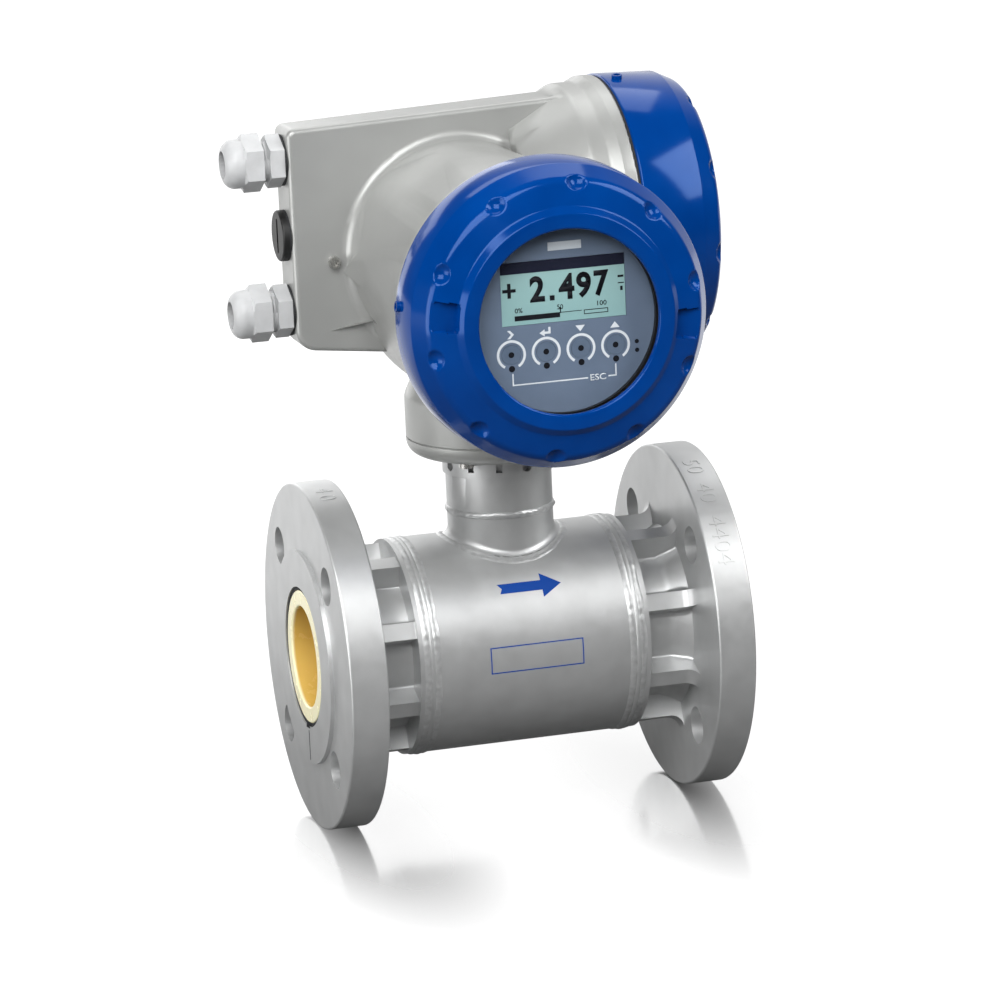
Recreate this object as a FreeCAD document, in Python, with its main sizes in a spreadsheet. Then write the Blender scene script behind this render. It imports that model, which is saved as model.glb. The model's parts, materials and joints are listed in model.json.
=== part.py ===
import FreeCAD, Part
import math
import os
import Sketcher

# Electromagnetic flow meter, in millimetres.
# The origin is the middle of the flow bore. +X is the flow direction, -Y the display side, +Z up.

Vector = FreeCAD.Vector
Rotation = FreeCAD.Rotation

SIZES = [
    # Sensor: process connections, 50 mm nominal bore at 40 bar
    ("face_to_face", 200, "raised face to raised face"),
    ("flange_thickness", 18, "flange plate"),
    ("bolt_face_gap", 2.5, "bolt holes outside the sealing face"),
    ("bolt_edge_width", 20, "flange plate outside the bolt circle"),
    ("bolt_hole_diameter", 18, "bolt holes"),
    ("bolt_count", 4, "bolt holes"),
    ("raised_face_diameter", 102, "sealing face"),
    ("raised_face_rise", 2, "sealing face above the plate"),
    ("hub_diameter", 78, "hub between casing and flange"),
    ("hub_cone_height", 5, "growth of the hub radius at the flange"),
    ("hub_cone_length", 10, "growth of the hub radius at the flange"),
    ("rib_count", 8, "ribs round each hub"),
    ("rib_width", 8, "ribs round each hub"),
    ("rib_setback", 2, "outer edge of a rib inside the casing's outside"),
    ("rib_fillet_radius", 6, "rib to flange plate"),
    ("edge_break_radius", 1, "turned edges"),
    # Sensor: measuring tube
    ("bore_diameter", 48, "flow bore"),
    ("tube_wall", 7.75, "ceramic tube"),
    ("tube_recess_depth", 0.5, "tube end below the raised face"),
    ("tube_end_radius", 1, "rounded mouth of the bore"),
    ("seal_width", 1.75, "ring between tube and flange"),
    ("seal_length", 10, "ring between tube and flange"),
    ("seal_recess_depth", 0.8, "ring below the raised face"),
    # Sensor: casing, coils and electrodes
    ("casing_length", 113, "coil casing"),
    ("casing_wall", 3, "coil casing"),
    ("bead_inset_length", 6, "weld bead from the casing end"),
    ("bead_radius", 1.6, "weld bead"),
    ("shoe_thickness", 2.5, "pole shoe on the tube"),
    ("shoe_width", 46, "pole shoe across the flow"),
    ("shoe_length", 40, "pole shoe along the flow"),
    ("core_diameter", 18, "iron core inside the coil"),
    ("coil_diameter", 38, "field coil"),
    ("coil_height", 6.093, "field coil"),
    ("coil_gap", 0.5, "coil to its neighbours"),
    ("yoke_thickness", 2, "iron band round the coils"),
    ("yoke_width", 36, "iron band round the coils"),
    ("yoke_gap", 1, "iron band to the casing"),
    ("electrode_diameter", 6, "electrode pin"),
    ("electrode_head_diameter", 10, "electrode collar"),
    ("electrode_head_height", 4, "electrode collar"),
    ("electrode_recess_depth", 0.25, "tip behind the bore wall"),
    ("electrode_tail_length", 3, "pin beyond its collar"),
    # Neck
    ("neck_diameter", 50.5, "neck tube"),
    ("neck_wall", 3, "neck tube"),
    ("neck_weld_radius", 4, "fillet weld on the casing"),
    ("neck_bead_rise", 12, "weld ring on the neck above the casing"),
    ("neck_bead_radius", 1.4, "weld ring on the neck"),
    ("neck_height", 39.5, "underside of the converter above the casing"),
    ("collar_height", 9.5, "slotted collar"),
    ("collar_proud_height", 1.25, "slotted collar outside the neck tube"),
    ("collar_wall", 3, "slotted collar"),
    ("collar_slot_count", 12, "slotted collar"),
    ("collar_slot_width", 3, "slotted collar"),
    ("collar_slot_depth", 6.5, "slotted collar"),
    ("collar_hole_diameter", 5, "holes between the slots"),
    ("collar_hole_count", 4, "holes between the slots"),
    ("lead_diameter", 6, "inner signal lead"),
    ("lead_offset_length", 8.5, "inner signal lead behind the neck axis"),
    ("lead_bend_radius", 10, "inner signal lead"),
    # Converter housing
    ("stem_diameter", 86, "round stem of the housing"),
    ("stem_land_height", 1, "straight side of the base above its rounded underside"),
    ("base_height", 8, "height of the base plate"),
    ("stem_overlap_height", 19.7, "stem above the lower edge of the wiring channel"),
    ("stem_groove_depth", 0.8, "parting groove above the base"),
    ("stem_cone_width", 14, "cone of the stem behind the drum"),
    ("stem_cylinder_height", 20, "straight part of the stem above the base"),
    ("base_screw_inset_length", 12.5, "screws up through the base, inside its side"),
    ("base_screw_head_diameter", 7, "screws up through the base"),
    ("base_screw_head_height", 3, "screws up through the base"),
    ("base_screw_diameter", 4, "screws up through the base"),
    ("base_screw_depth", 8, "screws up into the stem"),
    ("base_screw_count", 4, "screws up through the base"),
    ("drum_rise", 82.8, "axis of the display drum above the underside of the converter"),
    ("drum_waist_depth", 8.5, "display drum inside the shoulder of its cover"),
    ("root_fillet_radius", 5, "drum root to wiring channel"),
    ("root_radius", 52.5, "drum root, left of and above the drum axis"),
    ("root_left_offset", 14, "axis of the drum root left of the drum axis"),
    ("root_rise_offset", 13.2, "axis of the drum root above the drum axis"),
    ("drum_face", 87.5, "shoulder under the front cover, in front of the neck axis"),
    ("shoulder_width", 7, "shoulders under the covers, round their spigots"),
    ("spigot_set_width", 2, "threaded spigots inside the outer edge of the face"),
    ("shoulder_length", 6, "shoulders under the covers"),
    ("shoulder_taper_length", 5, "shoulders under the covers"),
    ("channel_back_length", 27, "back of the wiring channel behind the neck axis"),
    ("channel_depth", 25, "wiring channel front to back"),
    ("channel_left_length", 93.8, "cable entry face, left of the neck axis"),
    ("channel_left_drop", 27.2, "lower edge at the cable entries, below the drum axis"),
    ("channel_right_drop", 44, "lower edge at the terminal side, below the drum axis"),
    ("channel_left_rise", 76.7, "upper edge at the cable entries, above the drum axis"),
    ("channel_right_rise", 81.8, "upper edge at the terminal side, above the drum axis"),
    ("channel_corner_radius", 10, "lower corner of the wiring channel"),
    ("channel_top_corner_radius", 4, "upper corner of the wiring channel"),
    ("channel_edge_radius", 2.5, "rounded edges of the wiring channel"),
    ("channel_wall", 2.5, "front and back of the wiring channel"),
    ("entry_wall", 6, "wall under the cable entries"),
    ("terminal_rise", 19.5, "axis of the terminal side above the drum axis"),
    ("terminal_waist_depth", 2.5, "terminal side inside the shoulder of its cover"),
    ("terminal_face_length", 60, "shoulder under the side cover, right of the neck axis"),
    ("terminal_length", 19, "cylindrical length of the terminal side"),
    ("terminal_cone_length", 28, "cone towards the wiring channel"),
    ("terminal_cone_height", 16, "cone towards the wiring channel"),
    ("terminal_round_radius", 6, "rounded edge between cone and terminal side"),
    ("spigot_length", 14, "threaded spigots under the covers"),
    ("spigot_wall", 7.5, "spigot outside down to the compartment"),
    ("drum_cavity_depth", 42, "electronics compartment behind the shoulder"),
    ("terminal_cavity_depth", 26, "terminal compartment behind the shoulder"),
    ("drum_back_radius", 9, "rounded back of the drum"),
    ("lead_bore_diameter", 24, "way up through base and stem"),
    ("lead_bore_rise", 32.2, "way up past the lower edge of the wiring channel"),
    # Covers
    ("gasket_thickness", 1, "cover seals"),
    ("gasket_width", 5.5, "cover seals"),
    ("gasket_inset_length", 0.6, "cover seals inside the shoulder"),
    ("thread_gap", 0.3, "cover skirt round its spigot"),
    ("cover_overhang_length", 1.9, "front cover rim outside its shoulder"),
    ("blank_overhang_length", 0.5, "side cover rim outside its shoulder"),
    ("cover_draft_width", 1, "lean of the side wall of the covers"),
    ("cover_side_height", 22.5, "side wall of the front cover"),
    ("blank_side_height", 28.5, "side wall of the side cover"),
    ("cover_bevel_height", 10.5, "bevel round the face of the front cover"),
    ("blank_bevel_height", 9.5, "bevel round the face of the side cover"),
    ("face_width", 11.5, "sloping face of the covers"),
    ("cover_bevel_radius", 6, "round between bevel and face"),
    ("face_slope_height", 3.3, "sloping face of the covers"),
    ("lip_slope_width", 3, "slope outside the window lip"),
    ("lip_rise", 2.9, "top of the window lip above the face"),
    ("lip_width", 7, "window lip"),
    ("lip_round_radius", 1.2, "window lip"),
    ("lip_depth", 3.2, "glass below the top of its lip"),
    ("window_overlap_width", 3, "display panel beyond the clear window opening"),
    ("window_seat_width", 4, "glass beyond the clear window opening"),
    ("window_thickness", 4, "window glass"),
    ("window_seal_width", 3.5, "ring seal over the glass"),
    ("window_seal_thickness", 0.8, "ring seal over the glass"),
    ("window_ring_thickness", 2.5, "ring behind the glass"),
    ("window_ring_width", 3.5, "ring behind the glass"),
    ("skirt_length", 16, "threaded depth of the covers"),
    ("cover_inside_depth", 6.5, "inside of the covers past the thread, inside the spigot's outside"),
    ("blank_drop_height", 1.8, "centre panel of the side cover below the face"),
    ("blank_thickness", 5, "centre panel of the side cover"),
    ("dimple_count", 10, "pits round the covers"),
    ("dimple_inset_length", 6.15, "pits inside the rim of the front cover"),
    ("dimple_radius", 5.6, "pits round the covers"),
    ("dimple_sink_height", 0.7, "centre of the pits below the inner edge of the face"),
    ("dimple_turn", 18, "first pit from the grip notch, degrees"),
    ("notch_width", 13, "grip notches"),
    ("notch_length", 19.4, "grip notches in from the rim of the front cover"),
    ("notch_sink_height", 3.8, "grip notches below the inner edge of the face"),
    ("cover_turn", -6.8, "front cover as it was screwed home, degrees"),
    ("side_cover_turn", 9, "side cover as it was screwed home, degrees"),
    ("cover_screw_diameter", 5, "locking screws in the cover skirts"),
    ("cover_screw_proud_height", 1.6, "locking screws in the cover skirts"),
    ("cover_screw_height", 6.5, "locking screws above the rim"),
    # Display
    ("display_gap", 1, "display panel behind the ring of the window"),
    ("display_margin_width", 4.84, "display panel round the corner of its screen"),
    ("panel_thickness", 1, "display panel"),
    ("screen_width", 58, "display screen"),
    ("screen_height", 28.5, "display screen"),
    ("screen_rise", 13, "display screen above the drum axis"),
    ("screen_shift_width", 0.5, "display screen right of the drum axis"),
    ("screen_thickness", 4, "display screen"),
    ("screen_recess_depth", 0.3, "display screen below its panel"),
    ("screen_gap", 0.15, "display screen in its panel"),
    ("key_count", 4, "optical keys"),
    ("key_pitch", 16.3, "optical keys"),
    ("key_drop_height", 14.3, "optical keys below the drum axis"),
    ("key_shift_width", 0.5, "optical keys left of the drum axis"),
    ("key_diameter", 9, "optical keys"),
    ("key_gap", 0.15, "optical keys in their panel"),
    ("display_case_wall", 2, "case behind the panel"),
    ("board_thickness", 1.6, "circuit board"),
    ("unit_gap", 3, "electronics unit in its compartment"),
    ("unit_proud_length", 8, "electronics unit in front of the shoulder"),
    # Terminals
    ("block_width", 62, "terminal block"),
    ("block_height", 30, "terminal block"),
    ("block_drop_height", 20, "terminal block below the terminal axis"),
    ("block_depth", 16, "terminal block"),
    ("block_step_depth", 6, "terminal block"),
    ("terminal_count", 8, "terminal screws in a row"),
    ("terminal_screw_diameter", 4, "terminal screws"),
    ("terminal_screw_height", 2, "terminal screws"),
    ("earth_diameter", 8, "earth screw"),
    ("earth_height", 5, "earth screw"),
    ("earth_offset_length", 40, "earth screw behind the terminal axis"),
    # Cable entries
    ("upper_entry_rise", 61.2, "upper cable gland above the drum axis"),
    ("lower_entry_rise", -9.8, "lower cable gland above the drum axis"),
    ("plug_entry_rise", 25.7, "blind plug above the drum axis"),
    ("entry_thread_diameter", 20, "entry threads"),
    ("washer_diameter", 24, "entry washers"),
    ("washer_thickness", 1, "entry washers"),
    ("gland_flats_width", 22, "gland body across flats"),
    ("gland_hex_length", 7, "gland body"),
    ("gland_neck_diameter", 19, "gland body thread for the nut"),
    ("gland_neck_length", 11, "gland body thread for the nut"),
    ("gland_bore_diameter", 14, "gland body bore"),
    ("gland_bevel_height", 1.2, "hexagon corners"),
    ("nut_flats_width", 24, "dome nut across flats"),
    ("nut_length", 17.5, "dome nut"),
    ("nut_gap", 3, "dome nut to gland body"),
    ("nut_mouth_diameter", 13, "dome nut"),
    ("nut_hex_length", 9, "dome nut"),
    ("nut_dome_diameter", 23, "dome nut"),
    ("nut_dome_radius", 5.5, "rounding of the dome nut"),
    ("nut_thread_gap", 0.3, "dome nut round its thread"),
    ("insert_bore_diameter", 9, "rubber insert"),
    ("insert_length", 4.5, "rubber insert"),
    ("insert_gap", 0.4, "rubber insert in its nut"),
    ("plug_diameter", 24, "blind plug head"),
    ("plug_height", 3, "blind plug head"),
    ("plug_round_radius", 1, "blind plug head"),
    ("plug_slot_length", 16, "blind plug slot"),
    ("plug_slot_width", 2.5, "blind plug slot"),
    ("plug_slot_depth", 1.5, "blind plug slot"),
    ("plug_thread_gap", 0.3, "blind plug in its entry"),
    ("lock_screw_head_diameter", 5.5, "screw on the wiring channel"),
    ("lock_screw_diameter", 3, "screw on the wiring channel"),
    ("lock_screw_height", 3, "screw on the wiring channel"),
    ("lock_screw_left_length", 74.5, "screw left of the neck axis"),
    ("lock_screw_rise", 13.2, "screw above the drum axis"),
    ("socket_flats_width", 3, "hexagon sockets of the small screws"),
]


class Length:
    """A number of millimetres together with the spreadsheet formula that gives it."""

    def __init__(self, value, formula):
        self.value = float(value)
        self.formula = formula

    def __add__(self, other):
        other = length(other)
        return Length(self.value + other.value, f"({self.formula} + {other.formula})")

    def __sub__(self, other):
        other = length(other)
        return Length(self.value - other.value, f"({self.formula} - {other.formula})")

    def __rsub__(self, other):
        return length(other) - self

    def __mul__(self, factor):
        factor = length(factor)
        return Length(self.value * factor.value, f"({self.formula} * {factor.formula})")

    def __truediv__(self, divisor):
        return Length(self.value / divisor, f"({self.formula} / {divisor})")

    def __neg__(self):
        return Length(-self.value, f"(0 - {self.formula})")

    __radd__ = __add__
    __rmul__ = __mul__


def length(number):
    """Take a plain number as a length without a cell."""
    if isinstance(number, Length):
        return number
    return Length(number, f"({number})")


def polar(radius, degrees):
    """The two coordinates of a point at a radius and an angle."""
    turn = math.radians(length(degrees).value)
    across = Length(
        length(radius).value * math.cos(turn),
        f"({length(radius).formula} * cos({length(degrees).formula} * 1 deg))",
    )
    up = Length(
        length(radius).value * math.sin(turn),
        f"({length(radius).formula} * sin({length(degrees).formula} * 1 deg))",
    )
    return across, up


def hypotenuse(across, up):
    """The longest side of a triangle with a right angle."""
    return Length(
        math.hypot(length(across).value, length(up).value),
        f"sqrt(({length(across).formula}) ^ 2 + ({length(up).formula}) ^ 2)",
    )


def make_sheet(document):
    """Write the driving dimensions and return them by name."""
    sheet = document.addObject("Spreadsheet::Sheet", "Sizes")
    for row, (name, number, note) in enumerate(SIZES, start=1):
        sheet.set(f"A{row}", name)
        sheet.set(f"B{row}", str(number))
        sheet.set(f"C{row}", note)
        sheet.setAlias(f"B{row}", name)
    document.recompute()
    return {name: Length(number, f"Sizes.{name}") for name, number, note in SIZES}


doc = FreeCAD.newDocument("flow_meter")
size = make_sheet(doc)
built = []

# Directions of a turned piece's own axis
ALONG_X = Rotation(Vector(0, 1, 0), 90)
AGAINST_X = Rotation(Vector(0, 1, 0), -90)
ALONG_Y = Rotation(Vector(1, 0, 0), -90)
AGAINST_Y = Rotation(Vector(1, 0, 0), 90)
UPRIGHT = Rotation()


def place(piece, at, turn=UPRIGHT):
    """Put a piece's own origin at a point whose coordinates follow the sheet."""
    at = [length(coordinate) for coordinate in at]
    piece.Placement = FreeCAD.Placement(Vector(*[c.value for c in at]), turn)
    for axis, coordinate in zip("xyz", at):
        if coordinate.value:
            piece.setExpression(f".Placement.Base.{axis}", coordinate.formula)
    return piece


def new_body(label):
    """Start a piece that is built by sketches and features."""
    body = doc.addObject("PartDesign::Body", label)
    body.Label = label
    built.append(body)
    return body


def origin_part(body, role):
    """Find one of the body's own origin planes or axes."""
    return next(item for item in body.Origin.OriginFeatures if item.Role == role)


def new_sketch(body, role, offset=(0, 0, 0)):
    """Start a sketch on an origin plane, moved by an offset in the plane's own axes."""
    sketch = body.newObject("Sketcher::SketchObject", "outline")
    sketch.AttachmentSupport = [(origin_part(body, role), "")]
    sketch.MapMode = "FlatFace"
    offset = [length(part) for part in offset]
    sketch.AttachmentOffset = FreeCAD.Placement(Vector(*[part.value for part in offset]), Rotation())
    for axis, part in zip("xyz", offset):
        if part.value:
            sketch.setExpression(f".AttachmentOffset.Base.{axis}", part.formula)
    return sketch


def tie(sketch, kind, places, amount):
    """Add a measured constraint whose number follows the sheet."""
    amount = length(amount)
    index = sketch.addConstraint(Sketcher.Constraint(kind, *places, amount.value))
    if "Sizes." in amount.formula:
        sketch.setExpression(f"Constraints[{index}]", amount.formula)


def tie_point(sketch, geometry, point, across, up):
    """Fix a point of the sketch from the sketch's origin."""
    tie(sketch, "DistanceX", (-1, 1, geometry, point), across)
    tie(sketch, "DistanceY", (-1, 1, geometry, point), up)


def draw_circle(sketch, across, up, radius):
    """Draw a circle by its centre and radius."""
    centre = Vector(length(across).value, length(up).value, 0)
    index = sketch.addGeometry(Part.Circle(centre, Vector(0, 0, 1), length(radius).value))
    tie(sketch, "Radius", (index,), radius)
    tie_point(sketch, index, 3, across, up)


def corner_arc(before, corner, after, radius):
    """Work out the arc that rounds a corner, with the points where it leaves the two sides."""
    back = (before - corner).normalize()
    ahead = (after - corner).normalize()
    half = back.getAngle(ahead) / 2
    start = corner + back * (radius / math.tan(half))
    end = corner + ahead * (radius / math.tan(half))
    centre = corner + (back + ahead).normalize() * (radius / math.sin(half))
    left_turn = (corner - before).cross(after - corner).z > 0
    first, last = (start, end) if left_turn else (end, start)
    low = math.atan2(first.y - centre.y, first.x - centre.x)
    high = math.atan2(last.y - centre.y, last.x - centre.x)
    if high < low:
        high += 2 * math.pi
    arc = Part.ArcOfCircle(Part.Circle(centre, Vector(0, 0, 1), radius), low, high)
    return arc, start, end, left_turn


def draw_outline(sketch, corners):
    """Draw a closed outline through corners (across, up), or (across, up, rounding radius)."""
    points = [Vector(length(c[0]).value, length(c[1]).value, 0) for c in corners]
    count = len(corners)
    rounds = {}
    for i, corner in enumerate(corners):
        if len(corner) == 3:
            rounds[i] = corner_arc(points[i - 1], points[i], points[(i + 1) % count],
                                   length(corner[2]).value)
    sides = []
    for i in range(count):
        following = (i + 1) % count
        start = rounds[i][2] if i in rounds else points[i]
        end = rounds[following][1] if following in rounds else points[following]
        sides.append(sketch.addGeometry(Part.LineSegment(start, end)))
    for i, corner in enumerate(corners):
        side_in = sides[i - 1]
        side_out = sides[i]
        if i not in rounds:
            sketch.addConstraint(Sketcher.Constraint("Coincident", side_in, 2, side_out, 1))
            tie_point(sketch, side_out, 1, corner[0], corner[1])
            continue
        arc, start, end, left_turn = rounds[i]
        bend = sketch.addGeometry(arc)
        mark = sketch.addGeometry(Part.Point(points[i]), True)
        entry, leave = (1, 2) if left_turn else (2, 1)
        sketch.addConstraint([
            Sketcher.Constraint("Tangent", side_in, 2, bend, entry),
            Sketcher.Constraint("Tangent", bend, leave, side_out, 1),
            Sketcher.Constraint("PointOnObject", mark, 1, side_in),
            Sketcher.Constraint("PointOnObject", mark, 1, side_out),
        ])
        tie_point(sketch, mark, 1, corner[0], corner[1])
        tie(sketch, "Radius", (bend,), corner[2])


def revolve(body, corners, cut=False, role="XZ_Plane", offset=(0, 0, 0), axis="V_Axis"):
    """Turn an outline about an axis of its sketch, to add or to cut away."""
    sketch = new_sketch(body, role, offset)
    draw_outline(sketch, corners)
    feature = body.newObject("PartDesign::Groove" if cut else "PartDesign::Revolution", "turning")
    feature.Profile = sketch
    feature.ReferenceAxis = (sketch, [axis])
    feature.Angle = 360
    return feature


def revolve_circle(body, across, up, radius, cut=False):
    """Turn a small circle about the piece's own axis, as a bead or a groove."""
    sketch = new_sketch(body, "XZ_Plane")
    draw_circle(sketch, across, up, radius)
    feature = body.newObject("PartDesign::Groove" if cut else "PartDesign::Revolution", "bead")
    feature.Profile = sketch
    feature.ReferenceAxis = (sketch, ["V_Axis"])
    feature.Angle = 360
    return feature


def extrude(body, role, offset, draw, depth, cut=False, midplane=False, reverse=False):
    """Push a sketch drawn by draw(sketch) along its normal; a cut goes against it."""
    sketch = new_sketch(body, role, offset)
    draw(sketch)
    feature = body.newObject("PartDesign::Pocket" if cut else "PartDesign::Pad", "extrusion")
    feature.Profile = sketch
    feature.setExpression("Length", length(depth).formula)
    if midplane:
        feature.Midplane = True
    feature.Reversed = reverse
    return feature


def repeat_round(body, feature, count):
    """Repeat a feature evenly round the piece's own Z axis."""
    pattern = body.newObject("PartDesign::PolarPattern", "repeat")
    pattern.Originals = [feature]
    pattern.Axis = (origin_part(body, "Z_Axis"), [""])
    pattern.Angle = 360
    pattern.setExpression("Occurrences", length(count).formula)
    body.Tip = pattern
    return pattern


def blend(body, circles):
    """Join circles that lie at distances in front of the neck axis by straight sides."""
    sketches = []
    for distance, (across, up), radius in circles:
        sketch = new_sketch(body, "XZ_Plane", (0, 0, distance))
        draw_circle(sketch, across, up, radius)
        sketches.append(sketch)
    feature = body.newObject("PartDesign::AdditiveLoft", "blend")
    feature.Profile = sketches[0]
    feature.Sections = sketches[1:]
    feature.Ruled = True
    return feature


def round_edges(body, radius, wanted, kind="PartDesign::Fillet"):
    """Fillet, or chamfer, the edges of the body so far for which wanted(edge) is true."""
    doc.recompute()
    base = body.Tip
    names = [f"Edge{i}" for i, edge in enumerate(base.Shape.Edges, start=1) if wanted(edge)]
    feature = body.newObject(kind, "edges")
    feature.Base = (base, names)
    amount = "Radius" if kind == "PartDesign::Fillet" else "Size"
    feature.setExpression(amount, length(radius).formula)
    return feature


def turned(label, corners, at=(0, 0, 0), turn=UPRIGHT):
    """A piece of revolution: corners are (radius, height along its own axis)."""
    body = new_body(label)
    revolve(body, corners)
    return place(body, at, turn)


def ring(inner, outer, low, high):
    """Corners of a plain ring."""
    return [(inner, low), (outer, low), (outer, high), (inner, high)]


def hexagon(flats):
    """Corners of a hexagon by its width across flats."""
    radius = length(flats) / math.sqrt(3)
    return [polar(radius, 60 * i) for i in range(6)]


def new_solid(label, shape, at=(0, 0, 0), turn=UPRIGHT):
    """A piece whose form comes from solids cut and fused directly."""
    piece = doc.addObject("Part::Feature", label)
    piece.Label = label
    piece.Shape = shape
    built.append(piece)
    return place(piece, at, turn)


# Heights and radii that several pieces share

raised_face = size["face_to_face"] / 2
plate_front = raised_face - size["raised_face_rise"]
plate_back = plate_front - size["flange_thickness"]
bolt_circle_radius = (
    size["raised_face_diameter"] / 2 + size["bolt_face_gap"] + size["bolt_hole_diameter"] / 2)
flange_radius = bolt_circle_radius + size["bolt_edge_width"]
bore_radius = size["bore_diameter"] / 2
tube_radius = bore_radius + size["tube_wall"]
flange_bore = tube_radius + size["seal_width"]
shoe_outside = tube_radius + size["shoe_thickness"]
coil_low = shoe_outside + size["coil_gap"]
coil_high = coil_low + size["coil_height"]
yoke_inside = hypotenuse(coil_high + size["coil_gap"], size["coil_diameter"] / 2)
yoke_outside = yoke_inside + size["yoke_thickness"]
casing_end = size["casing_length"] / 2
casing_inside = yoke_outside + size["yoke_gap"]
casing_radius = casing_inside + size["casing_wall"]
neck_radius = size["neck_diameter"] / 2
neck_inside = neck_radius - size["neck_wall"]
neck_top = casing_radius + size["neck_height"]
collar_radius = neck_radius + size["collar_proud_height"]
collar_foot = neck_top - size["collar_height"]
base_top = neck_top + size["base_height"]
stem_radius = size["stem_diameter"] / 2
base_screw_radius = stem_radius - size["base_screw_inset_length"]

display_radius = size["display_margin_width"] + hypotenuse(
    size["screen_width"] / 2 + size["screen_shift_width"],
    size["screen_height"] / 2 + size["screen_rise"])
opening_radius = display_radius - size["window_overlap_width"]
glass_radius = opening_radius + size["window_seat_width"]
lip_radius = opening_radius + size["lip_width"]
face_inside = lip_radius + size["lip_slope_width"]
face_outside = face_inside + size["face_width"]
spigot_radius = face_outside - size["spigot_set_width"]
shoulder_radius = spigot_radius + size["shoulder_width"]
cover_radius = shoulder_radius + size["cover_overhang_length"]
blank_radius = shoulder_radius + size["blank_overhang_length"]
cavity_radius = spigot_radius - size["spigot_wall"]
drum_radius = shoulder_radius - size["drum_waist_depth"]
terminal_radius = shoulder_radius - size["terminal_waist_depth"]
cover_face = size["cover_side_height"] + size["cover_bevel_height"] + size["face_slope_height"]
blank_face = size["blank_side_height"] + size["blank_bevel_height"] + size["face_slope_height"]
lip_top = cover_face + size["lip_rise"]
glass_front = lip_top - size["lip_depth"]
glass_back = glass_front - size["window_thickness"]
window_ring_back = glass_back - size["window_ring_thickness"]

drum_axis = neck_top + size["drum_rise"]
terminal_axis = drum_axis + size["terminal_rise"]
channel_back = size["channel_back_length"]
channel_left = size["channel_left_length"]
channel_front = channel_back - size["channel_depth"]
channel_middle = channel_back - size["channel_depth"] / 2
channel_low_left = drum_axis - size["channel_left_drop"]
channel_low_right = drum_axis - size["channel_right_drop"]
channel_high_left = drum_axis + size["channel_left_rise"]
channel_high_right = drum_axis + size["channel_right_rise"]
upper_entry = drum_axis + size["upper_entry_rise"]
lower_entry = drum_axis + size["lower_entry_rise"]
plug_entry = drum_axis + size["plug_entry_rise"]
lock_screw_up = drum_axis + size["lock_screw_rise"]
terminal_face = size["terminal_face_length"]
terminal_floor = terminal_face - size["terminal_cavity_depth"]
drum_floor = size["drum_face"] - size["drum_cavity_depth"]
cover_seat = size["drum_face"] + size["gasket_thickness"]
display_front = cover_seat + window_ring_back - size["display_gap"]
board_front = display_front - size["screen_recess_depth"] - size["screen_thickness"]
gland_hex_end = size["washer_thickness"] + size["gland_hex_length"]
gland_neck_end = gland_hex_end + size["gland_neck_length"]
nut_foot = gland_hex_end + size["nut_gap"]
nut_tip = nut_foot + size["nut_length"]


# Sensor

def flange(label, turn):
    """Flange with its raised face, hub and ribs, on the piece's own Z axis."""
    hub_radius = size["hub_diameter"] / 2
    cone_radius = hub_radius + size["hub_cone_height"]
    face_radius = size["raised_face_diameter"] / 2
    body = new_body(label)
    revolve(body, [
        (flange_bore, casing_end),
        (hub_radius, casing_end),
        (hub_radius, plate_back - size["hub_cone_length"]),
        (cone_radius, plate_back),
        (flange_radius, plate_back, size["edge_break_radius"]),
        (flange_radius, plate_front, size["edge_break_radius"]),
        (face_radius, plate_front),
        (face_radius, raised_face),
        (flange_bore, raised_face),
    ])
    root = hub_radius - size["seal_width"]
    edge = casing_radius - size["rib_setback"]
    flare = edge + size["rib_fillet_radius"] + size["edge_break_radius"]
    sunk = plate_back + size["raised_face_rise"]
    rib = extrude(
        body, "XZ_Plane", (0, 0, 0),
        lambda sketch: draw_outline(sketch, [
            (root, casing_end),
            (edge, casing_end),
            (edge, plate_back, size["rib_fillet_radius"]),
            (flare, plate_back),
            (flare, sunk),
            (root, sunk),
        ]),
        size["rib_width"], midplane=True)
    repeat_round(body, rib, size["rib_count"])
    hole = extrude(
        body, "XY_Plane", (0, 0, raised_face),
        lambda sketch: draw_circle(
            sketch,
            *polar(bolt_circle_radius, half_rib_pitch(1)),
            size["bolt_hole_diameter"] / 2),
        raised_face - plate_back + size["raised_face_rise"], cut=True)
    repeat_round(body, hole, size["bolt_count"])
    return place(body, (0, 0, 0), turn)


def half_rib_pitch(count):
    """Half the angle between two ribs, counted off a number of times, in degrees."""
    return Length(
        count * 180 / size["rib_count"].value,
        f"({count} * 180 / {size['rib_count'].formula})",
    )


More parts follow.
